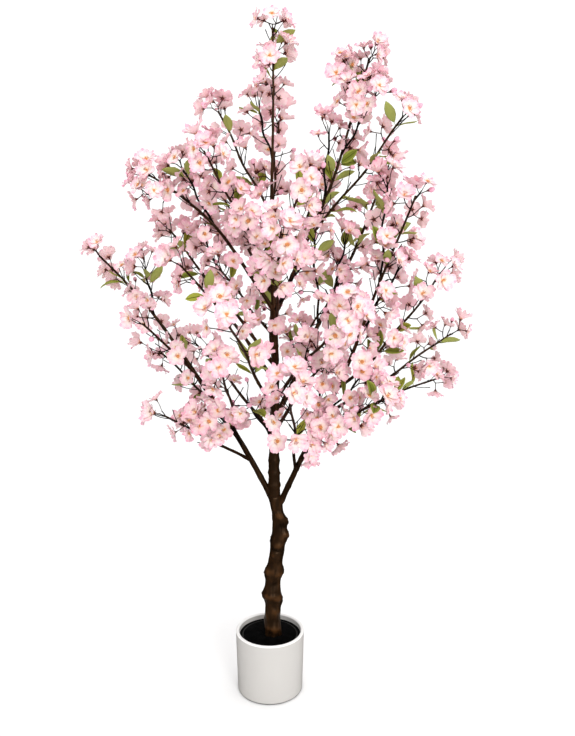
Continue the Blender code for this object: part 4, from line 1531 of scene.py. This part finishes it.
def petal_shape(size, wide, rise, roll, phase):
    """One round-tipped petal along +Y with a slight notch, cupped, with its tip rolled back."""
    last = len(PETAL_ROWS) - 1

    def place(across, along):
        row = round(last * along)
        v = PETAL_ROWS[row]
        y = v - PETAL_TIP[round(2 * abs(across))] * (row == last)
        z = rise * v**1.2 - roll * v**4
        z += PETAL_CUP * across * across * v
        z += PETAL_RUFFLE * math.sin(PETAL_RUFFLES * across + phase) * v * v
        z += PETAL_TWIST * across * v * (1.0 - PETAL_TWIST_EASE * v)
        return across * PETAL_WIDTHS[row] * wide * size, y * size, z * size

    def slot_of(across, along):
        return PETAL_SLOTS[int(last * along)][abs(across) > 0.5]

    top = grid_shape(last, place, slot_of)
    return two_sided(top, PETAL_BACKS[top.quad_slots], PETAL_THICKNESS)


def stamens_shape(rng):
    """Threads that lean out from the centre, each a thin blade with a small tip."""
    shapes = []
    for number in range(THREADS):
        turn = 2.0 * math.pi * number / THREADS + rng.uniform(-THREAD_SWAY, THREAD_SWAY)
        lean = rng.uniform(*THREAD_LEANS)
        end = rng.uniform(*THREAD_LENGTHS)
        out = np.array((math.cos(turn), math.sin(turn), 0.0))
        way = out * math.sin(lean) + np.array((0.0, 0.0, math.cos(lean)))
        side = np.array((-math.sin(turn), math.cos(turn), 0.0))
        start, end = way * THREAD_START, way * end
        foot, tip = side * THREAD_FOOT, side * THREAD_END
        corners = [start - foot, start + foot, end + tip, end - tip]
        shapes.append(shape_of(corners, [(0, 1, 2, 3)], slot=FILAMENT))
        along, across, up = way * ANTHER_SIZE, side * ANTHER_SIZE, np.cross(way, side) * ANTHER_SIZE
        corners = [end - along, end + across, end + up, end - across, end - up, end + along]
        quads = [(0, 1, 5, 2), (0, 3, 5, 4), (0, 2, 5, 3), (0, 4, 5, 1)]
        shapes.append(shape_of(corners, quads, slot=ANTHER))
    return joined_shape(shapes)


def star_shape():
    """The calyx: a cup behind the flower and five pointed sepals on the petals' backs."""
    shapes = [disc_shape(CALYX_RINGS, SEPALS, CALYX)]
    for number in range(SEPALS):
        turn = 2.0 * math.pi * (number + 0.5) / SEPALS
        out = np.array((math.cos(turn), math.sin(turn), 0.0))
        side = np.array((-math.sin(turn), math.cos(turn), 0.0))
        corners = []
        for along, across, height in SEPAL_CORNERS:
            corners.append(out * along + side * across + np.array((0, 0, height)))
        shapes.append(shape_of(corners, [(0, 3, 2, 1)], slot=CALYX))
    return joined_shape(shapes)


class FlowerKind(NamedTuple):
    """Petals of a kind of flower: an outer and an inner row, as count, half width and rise."""

    outer: tuple
    inner: tuple
    roll: float


FLOWER_KINDS = (
    FlowerKind((5, 0.45, 0.38), (2, 0.32, 0.62), 0.14),
    FlowerKind((5, 0.46, 0.24), (0, 0.0, 0.0), 0.10),
    FlowerKind((6, 0.39, 0.42), (0, 0.0, 0.0), 0.16),
    FlowerKind((5, 0.44, 0.55), (2, 0.32, 0.85), 0.20),
    FlowerKind((5, 0.43, 0.90), (2, 0.31, 1.05), 0.26),
    FlowerKind((6, 0.39, 0.26), (3, 0.29, 0.50), 0.12),
)


def flower_shape(number):
    """A whole flower facing +Z with a radius of 1: petals, centre, threads and calyx."""
    rng = random.Random(7 + number)
    kind = FLOWER_KINDS[number]
    shapes = []
    for row, size, lift in ((kind.outer, OUTER_SIZE, 0.0), (kind.inner, INNER_SIZE, INNER_LIFT)):
        count, wide, rise = row
        for place in range(count):
            petal = petal_shape(
                size * rng.uniform(*PETAL_SIZES),
                wide * rng.uniform(*PETAL_SPREADS),
                rise + rng.uniform(*PETAL_RISES),
                kind.roll,
                rng.uniform(0, FULL_TURN),
            )
            angle = 2.0 * math.pi * (place + INNER_TURN * lift) / count
            angle += rng.uniform(-PETAL_SWAY, PETAL_SWAY)
            raised = Matrix.Translation((0, 0, lift + PETAL_LAP * (place % 2)))
            shapes.append(moved_shape(petal, raised @ Matrix.Rotation(angle, 4, "Z")))
    shapes.append(disc_shape(HEART_RINGS, HEART_SIDES, HEART))
    shapes.append(stamens_shape(rng))
    base = 0.30 * kind.outer[2]
    back = ((0.0, -0.06), (0.20, base * 0.5 - 0.02), (0.30, base), (0.0, -0.03))
    shapes.append(disc_shape(back, BACK_SIDES, BACK))
    shapes.append(star_shape())
    return joined_shape(shapes)


def bud_shape():
    """A closed bud: wrapped petals above a calyx."""
    petals = disc_shape(BUD_RINGS, BUD_SIDES, RIM)
    x, y, z = petals.points.T.copy()
    angle = z * BUD_SWIRL
    petals.points[:, 0] = x * np.cos(angle) - y * np.sin(angle)
    petals.points[:, 1] = x * np.sin(angle) + y * np.cos(angle)
    return joined_shape([petals, disc_shape(BUD_CUP_RINGS, BUD_CUP_SIDES, CALYX)])


def petal_materials():
    """Plain colours for the parts of a flower. Three tints of the petals are dealt out by spray."""
    tone = colours()
    made = []
    for label, factor in TINT_STRENGTHS:
        for part in TINTED:
            red, green, blue = getattr(tone, part)
            shade = (red, green * factor, blue * (0.5 + 0.5 * factor))
            shade = Vector([min(BRIGHTEST, value) for value in shade])
            made.append(new_material(f"petal_{part}_{label}", shade, 0.7, Sheen_Weight=0.15))
    made.append(new_material("flower_heart", tone.heart, 0.8))
    made.append(new_material("flower_filament", tone.filament, 0.7))
    made.append(new_material("flower_anther", tone.anther, 0.7))
    made.append(new_material("petal_base", tone.back, 0.75))
    made.append(new_material("flower_calyx", tone.calyx, 0.6))
    return made


def tint_slots(tint):
    """Renumbers the parts of a flower to the materials of one tint."""
    tinted = len(TINTED)
    own = [tinted * tint + part for part in range(tinted)]
    shared = [tinted * (len(TINT_STRENGTHS) - 1) + part for part in range(HEART, CALYX + 1)]
    return np.array(own + shared, dtype=np.int64)


def facing_matrix(flower):
    """Turns a flower's shape the way it faces and puts it at the end of its stalk."""
    turn = Vector((0, 0, 1)).rotation_difference(flower.facing).to_matrix().to_4x4()
    spin = Matrix.Rotation(flower.turn, 4, "Z")
    return Matrix.Translation(flower.tip) @ turn @ spin @ Matrix.Scale(flower.radius, 4)


def make_blossom():
    """Every open flower and bud, in four pieces from the bottom of the crown to the top."""
    shapes = [flower_shape(kind) for kind in range(len(FLOWER_KINDS))] + [bud_shape()]
    flowers = sorted(crown().flowers, key=lambda flower: flower.tip.z)
    materials = petal_materials()
    for number, tier in enumerate(TIERS):
        heap = Heap()
        first = len(flowers) * number // len(TIERS)
        last = len(flowers) * (number + 1) // len(TIERS)
        for flower in flowers[first:last]:
            heap.add(moved_shape(shapes[flower.kind], facing_matrix(flower)), tint_slots(flower.tint))
        nodes = BLOSSOM_NODES[number :: len(TIERS)]
        heap.piece("blossom_tier_" + tier, materials, nodes)


# Leaves, in shares of a leaf's length

LEAF_COLUMNS = (0.0, 0.10, 0.62, 1.0)
LEAF_ROWS = (0.0, 0.10, 0.28, 0.50, 0.72, 0.88, 1.0)
LEAF_WIDTHS = (0.035, 0.22, 0.43, 0.50, 0.40, 0.22, 0.02)
# Fold along the middle, bow and curl of the three forms of leaf
LEAF_KINDS = ((0.30, 0.16, 0.05), (0.16, -0.10, 0.09), (0.42, 0.30, -0.06))
LEAF_CURL_SHARE = 0.3
LEAF_WAVE = 0.012
LEAF_WAVES = 9.0
LEAF_WAVES_ACROSS = 2.0
LEAF_THICKNESS = 0.012
LEAF_STALK = 0.16
LEAF_STALK_RADII = (0.0011, 0.0008, 0.0008)
LEAF_STALK_OVERLAP = 0.003
LEAF_STALK_SIDES = 4
LEAF_EDGE_SHARE = 0.45
LEAF_FACE_DOWN = -0.2
# Colours of a leaf's parts, and the order in which its materials follow the three greens
LEAF_BLADE, LEAF_EDGE, LEAF_UNDER, LEAF_RIB = range(4)
LEAF_SLOTS = (LEAF_RIB, LEAF_BLADE, LEAF_EDGE)


def leaf_shape(kind):
    """A pointed oval leaf along +Y, one leaf length long: folded, bowed, with a pale underside."""
    fold, bow, curl = LEAF_KINDS[kind]
    cells = len(LEAF_ROWS) - 1
    half = cells / 2

    def place(across, along):
        row = round(cells * along)
        v = LEAF_ROWS[row]
        wide = LEAF_WIDTHS[row] * sizes().leaf_width / sizes().leaf_length
        x = math.copysign(LEAF_COLUMNS[round(half * abs(across))], across) * wide
        z = abs(x) * fold + bow * v * (1.0 - v)
        z += curl * math.sin(2.0 * math.pi * v) * LEAF_CURL_SHARE
        z += LEAF_WAVE * math.sin(LEAF_WAVES * v + LEAF_WAVES_ACROSS * across) * abs(across)
        return x, v, z

    top = grid_shape(cells, place, lambda across, along: LEAF_SLOTS[int(half * abs(across))])
    rim = rim_quads(top.quads, len(top.points))
    under = np.full(len(top.quads), LEAF_UNDER)
    leaf = two_sided(top, under, LEAF_THICKNESS)
    return leaf._replace(
        quads=np.concatenate((leaf.quads, rim)),
        quad_slots=np.concatenate((leaf.quad_slots, np.full(len(rim), LEAF_EDGE))),
    )


def rim_quads(quads, offset):
    """The narrow faces between the rims of a sheet and of its copy."""
    edges = {}
    for face in quads:
        for first, second in zip(face, np.roll(face, -1)):
            edges[(int(first), int(second))] = True
    open_edges = [edge for edge in edges if (edge[1], edge[0]) not in edges]
    return np.array([(b, a, a + offset, b + offset) for a, b in open_edges], dtype=np.int64)


def leaf_materials():
    """A blade and a lighter edge in each of three greens, then the underside and the rib."""
    tone = colours()
    made = []
    for label, part in (("mid", tone.leaf), ("dark", tone.leaf_dark), ("light", tone.leaf_light)):
        edge = Vector(part).lerp(Vector(tone.leaf_edge), LEAF_EDGE_SHARE)
        made.append(new_material("leaf_" + label, part, 0.55, Specular_IOR_Level=0.3))
        made.append(new_material("leaf_edge_" + label, edge, 0.55, Specular_IOR_Level=0.3))
    made.append(new_material("leaf_underside", tone.leaf_back, 0.65, Specular_IOR_Level=0.2))
    made.append(new_material("leaf_rib", tone.leaf_rib, 0.6, Specular_IOR_Level=0.2))
    return made


def make_leaves():
    """All leaves, each on a short stalk, in three greens with lighter edges and undersides."""
    materials = leaf_materials()
    shapes = [leaf_shape(kind) for kind in range(len(LEAF_KINDS))]
    heap = Heap()
    for leaf in crown().leaves:
        normal = leaf.direction.cross(leaf.side).normalized()
        if normal.z < LEAF_FACE_DOWN:
            normal = -normal
        across = leaf.direction.cross(normal).normalized()
        start = leaf.root + leaf.direction * (leaf.length * LEAF_STALK)
        turn = Matrix((across, leaf.direction, normal)).transposed().to_4x4()
        place = Matrix.Translation(start) @ turn @ Matrix.Scale(leaf.length, 4)
        shared = (len(materials) - 2, len(materials) - 1)
        slots = np.array((2 * leaf.tint, 2 * leaf.tint + 1, *shared), dtype=np.int64)
        heap.add(moved_shape(shapes[leaf.kind], place), slots)
        end = start + leaf.direction * LEAF_STALK_OVERLAP
        line = [leaf.root, leaf.root.lerp(start, 0.5), end]
        heap.add(tube_shape(line, LEAF_STALK_RADII, LEAF_STALK_SIDES), slots)
    heap.piece("leaves", materials)


# Stage

FLOOR_RADIUS = 9.0
FLOOR_SIDES = 96
FLOOR_DROP = 0.0005
# Cards beside the pot: name, x, and the heights of the lower and the upper edge
FLAGS = (("flag_left", -1.20, 0.24, 1.10), ("flag_right", 1.45, 0.12, 0.42))
FLAG_WIDTH = 1.3
FLAG_BLACK = (0.02, 0.02, 0.02)
# Lamps: name, place, power as a share of the key light's, and size
LAMPS = (("key_lamp", (2.3, -6.0, 3.4), 1.0, 2.0), ("top_lamp", (-0.6, -1.5, 5.6), 0.19, 2.6))
LAMP_AIM = Vector((0, 0, 0.95))
CAMERA_PLACE = (0.050, -1.952, 1.278)
CAMERA_TILT = 80.0
SENSOR_WIDTH = 36.0


def make_flag(name, place, low, high):
    """A dark card beside the pot, out of sight, that keeps the even light off that side."""
    deselect()
    bpy.ops.mesh.primitive_grid_add(x_subdivisions=2, y_subdivisions=2, size=1.0)
    flag = fresh(name)
    for vertex in flag.data.vertices:
        height = low + (vertex.co.y + 0.5) * (high - low)
        vertex.co = Vector((place, vertex.co.x * FLAG_WIDTH, height))
    flag.data.materials.append(new_material("flag_black", FLAG_BLACK, 0.9))
    flag.visible_camera = False
    flag.visible_glossy = False
    flag.visible_shadow = False


def make_stage():
    """A plain floor, two large soft lamps, even surrounding light, two dark cards, the camera."""
    look = bpy.context.scene.cherry_stage
    deselect()
    bpy.ops.mesh.primitive_circle_add(
        vertices=FLOOR_SIDES, radius=FLOOR_RADIUS, fill_type="NGON", location=(0, 0, -FLOOR_DROP)
    )
    floor = fresh("floor")
    floor.data.materials.append(new_material("floor_white", look.floor, 0.9))
    floor.visible_glossy = False
    for flag in FLAGS:
        make_flag(*flag)
    world = bpy.data.worlds.new("studio")
    world.use_nodes = True
    background = world.node_tree.nodes["Background"]
    background.inputs["Color"].default_value = (1.0, 1.0, 1.0, 1.0)
    background.inputs["Strength"].default_value = look.sky
    world.cycles_visibility.glossy = False
    bpy.context.scene.world = world
    for name, place, power, size in LAMPS:
        lamp = bpy.data.lights.new(name, "AREA")
        lamp.energy = look.key * power
        lamp.size = size
        item = bpy.data.objects.new(name, lamp)
        item.location = place
        item.rotation_euler = (LAMP_AIM - Vector(place)).to_track_quat("-Z", "Y").to_euler()
        bpy.context.scene.collection.objects.link(item)
    camera = bpy.data.cameras.new("camera")
    camera.lens = look.lens
    camera.sensor_width = SENSOR_WIDTH
    item = bpy.data.objects.new("camera", camera)
    item.location = CAMERA_PLACE
    item.rotation_euler = (math.radians(CAMERA_TILT), 0.0, 0.0)
    bpy.context.scene.collection.objects.link(item)
    bpy.context.scene.camera = item
    bpy.context.scene.view_settings.view_transform = "Standard"


# Operators and panel


class OBJECT_OT_cherry_pot(bpy.types.Operator):
    """Make the glazed pot"""

    bl_idname = "object.cherry_pot"
    bl_label = "Pot"
    bl_options = {"REGISTER", "UNDO"}

    def execute(self, context):
        make_pot()
        return {"FINISHED"}


class OBJECT_OT_cherry_filler(bpy.types.Operator):
    """Make the black plug that fills the pot"""

    bl_idname = "object.cherry_filler"
    bl_label = "Filler"
    bl_options = {"REGISTER", "UNDO"}

    def execute(self, context):
        make_filler()
        return {"FINISHED"}


class OBJECT_OT_cherry_trunk(bpy.types.Operator):
    """Make the trunk with its moulded bark"""

    bl_idname = "object.cherry_trunk"
    bl_label = "Trunk"
    bl_options = {"REGISTER", "UNDO"}

    def execute(self, context):
        make_trunk()
        return {"FINISHED"}


class OBJECT_OT_cherry_limbs(bpy.types.Operator):
    """Make the leader and the boughs"""

    bl_idname = "object.cherry_limbs"
    bl_label = "Leader and boughs"
    bl_options = {"REGISTER", "UNDO"}

    def execute(self, context):
        make_limbs()
        return {"FINISHED"}


class OBJECT_OT_cherry_twigs(bpy.types.Operator):
    """Make the twigs and the flowers' stalks"""

    bl_idname = "object.cherry_twigs"
    bl_label = "Twigs"
    bl_options = {"REGISTER", "UNDO"}

    def execute(self, context):
        make_twigs()
        return {"FINISHED"}


class OBJECT_OT_cherry_blossom(bpy.types.Operator):
    """Make the flowers and buds"""

    bl_idname = "object.cherry_blossom"
    bl_label = "Blossom"
    bl_options = {"REGISTER", "UNDO"}

    def execute(self, context):
        make_blossom()
        return {"FINISHED"}


class OBJECT_OT_cherry_leaves(bpy.types.Operator):
    """Make the leaves"""

    bl_idname = "object.cherry_leaves"
    bl_label = "Leaves"
    bl_options = {"REGISTER", "UNDO"}

    def execute(self, context):
        make_leaves()
        return {"FINISHED"}


class OBJECT_OT_cherry_stage(bpy.types.Operator):
    """Make the floor, the light and the camera"""

    bl_idname = "object.cherry_stage"
    bl_label = "Stage"
    bl_options = {"REGISTER", "UNDO"}

    def execute(self, context):
        make_stage()
        return {"FINISHED"}


OPERATORS = (
    OBJECT_OT_cherry_pot,
    OBJECT_OT_cherry_filler,
    OBJECT_OT_cherry_trunk,
    OBJECT_OT_cherry_limbs,
    OBJECT_OT_cherry_twigs,
    OBJECT_OT_cherry_blossom,
    OBJECT_OT_cherry_leaves,
    OBJECT_OT_cherry_stage,
)


class VIEW3D_PT_cherry_tree(bpy.types.Panel):
    """Sizes, colours and makers of the cherry tree"""

    bl_label = "Cherry tree"
    bl_space_type = "VIEW_3D"
    bl_region_type = "UI"
    bl_category = "Cherry tree"

    def draw(self, context):
        for group in ("cherry_sizes", "cherry_colours", "cherry_stage"):
            settings = getattr(context.scene, group)
            column = self.layout.column(align=True)
            for name in settings.bl_rna.properties.keys():
                if name not in ("rna_type", "name"):
                    column.prop(settings, name)
        for operator in OPERATORS:
            self.layout.operator(operator.bl_idname)


CLASSES = (TreeSizes, TreeColours, StageLook, *OPERATORS, VIEW3D_PT_cherry_tree)


def register():
    for item in CLASSES:
        bpy.utils.register_class(item)
    bpy.types.Scene.cherry_sizes = bpy.props.PointerProperty(type=TreeSizes)
    bpy.types.Scene.cherry_colours = bpy.props.PointerProperty(type=TreeColours)
    bpy.types.Scene.cherry_stage = bpy.props.PointerProperty(type=StageLook)


def unregister():
    del bpy.types.Scene.cherry_sizes
    del bpy.types.Scene.cherry_colours
    del bpy.types.Scene.cherry_stage
    for item in reversed(CLASSES):
        bpy.utils.unregister_class(item)


def main():
    """Makes the whole tree and its stage."""
    register()
    bpy.ops.object.cherry_pot()
    bpy.ops.object.cherry_filler()
    bpy.ops.object.cherry_trunk()
    bpy.ops.object.cherry_limbs()
    bpy.ops.object.cherry_twigs()
    bpy.ops.object.cherry_blossom()
    bpy.ops.object.cherry_leaves()
    bpy.ops.object.cherry_stage()


if __name__ == "__main__":
    main()
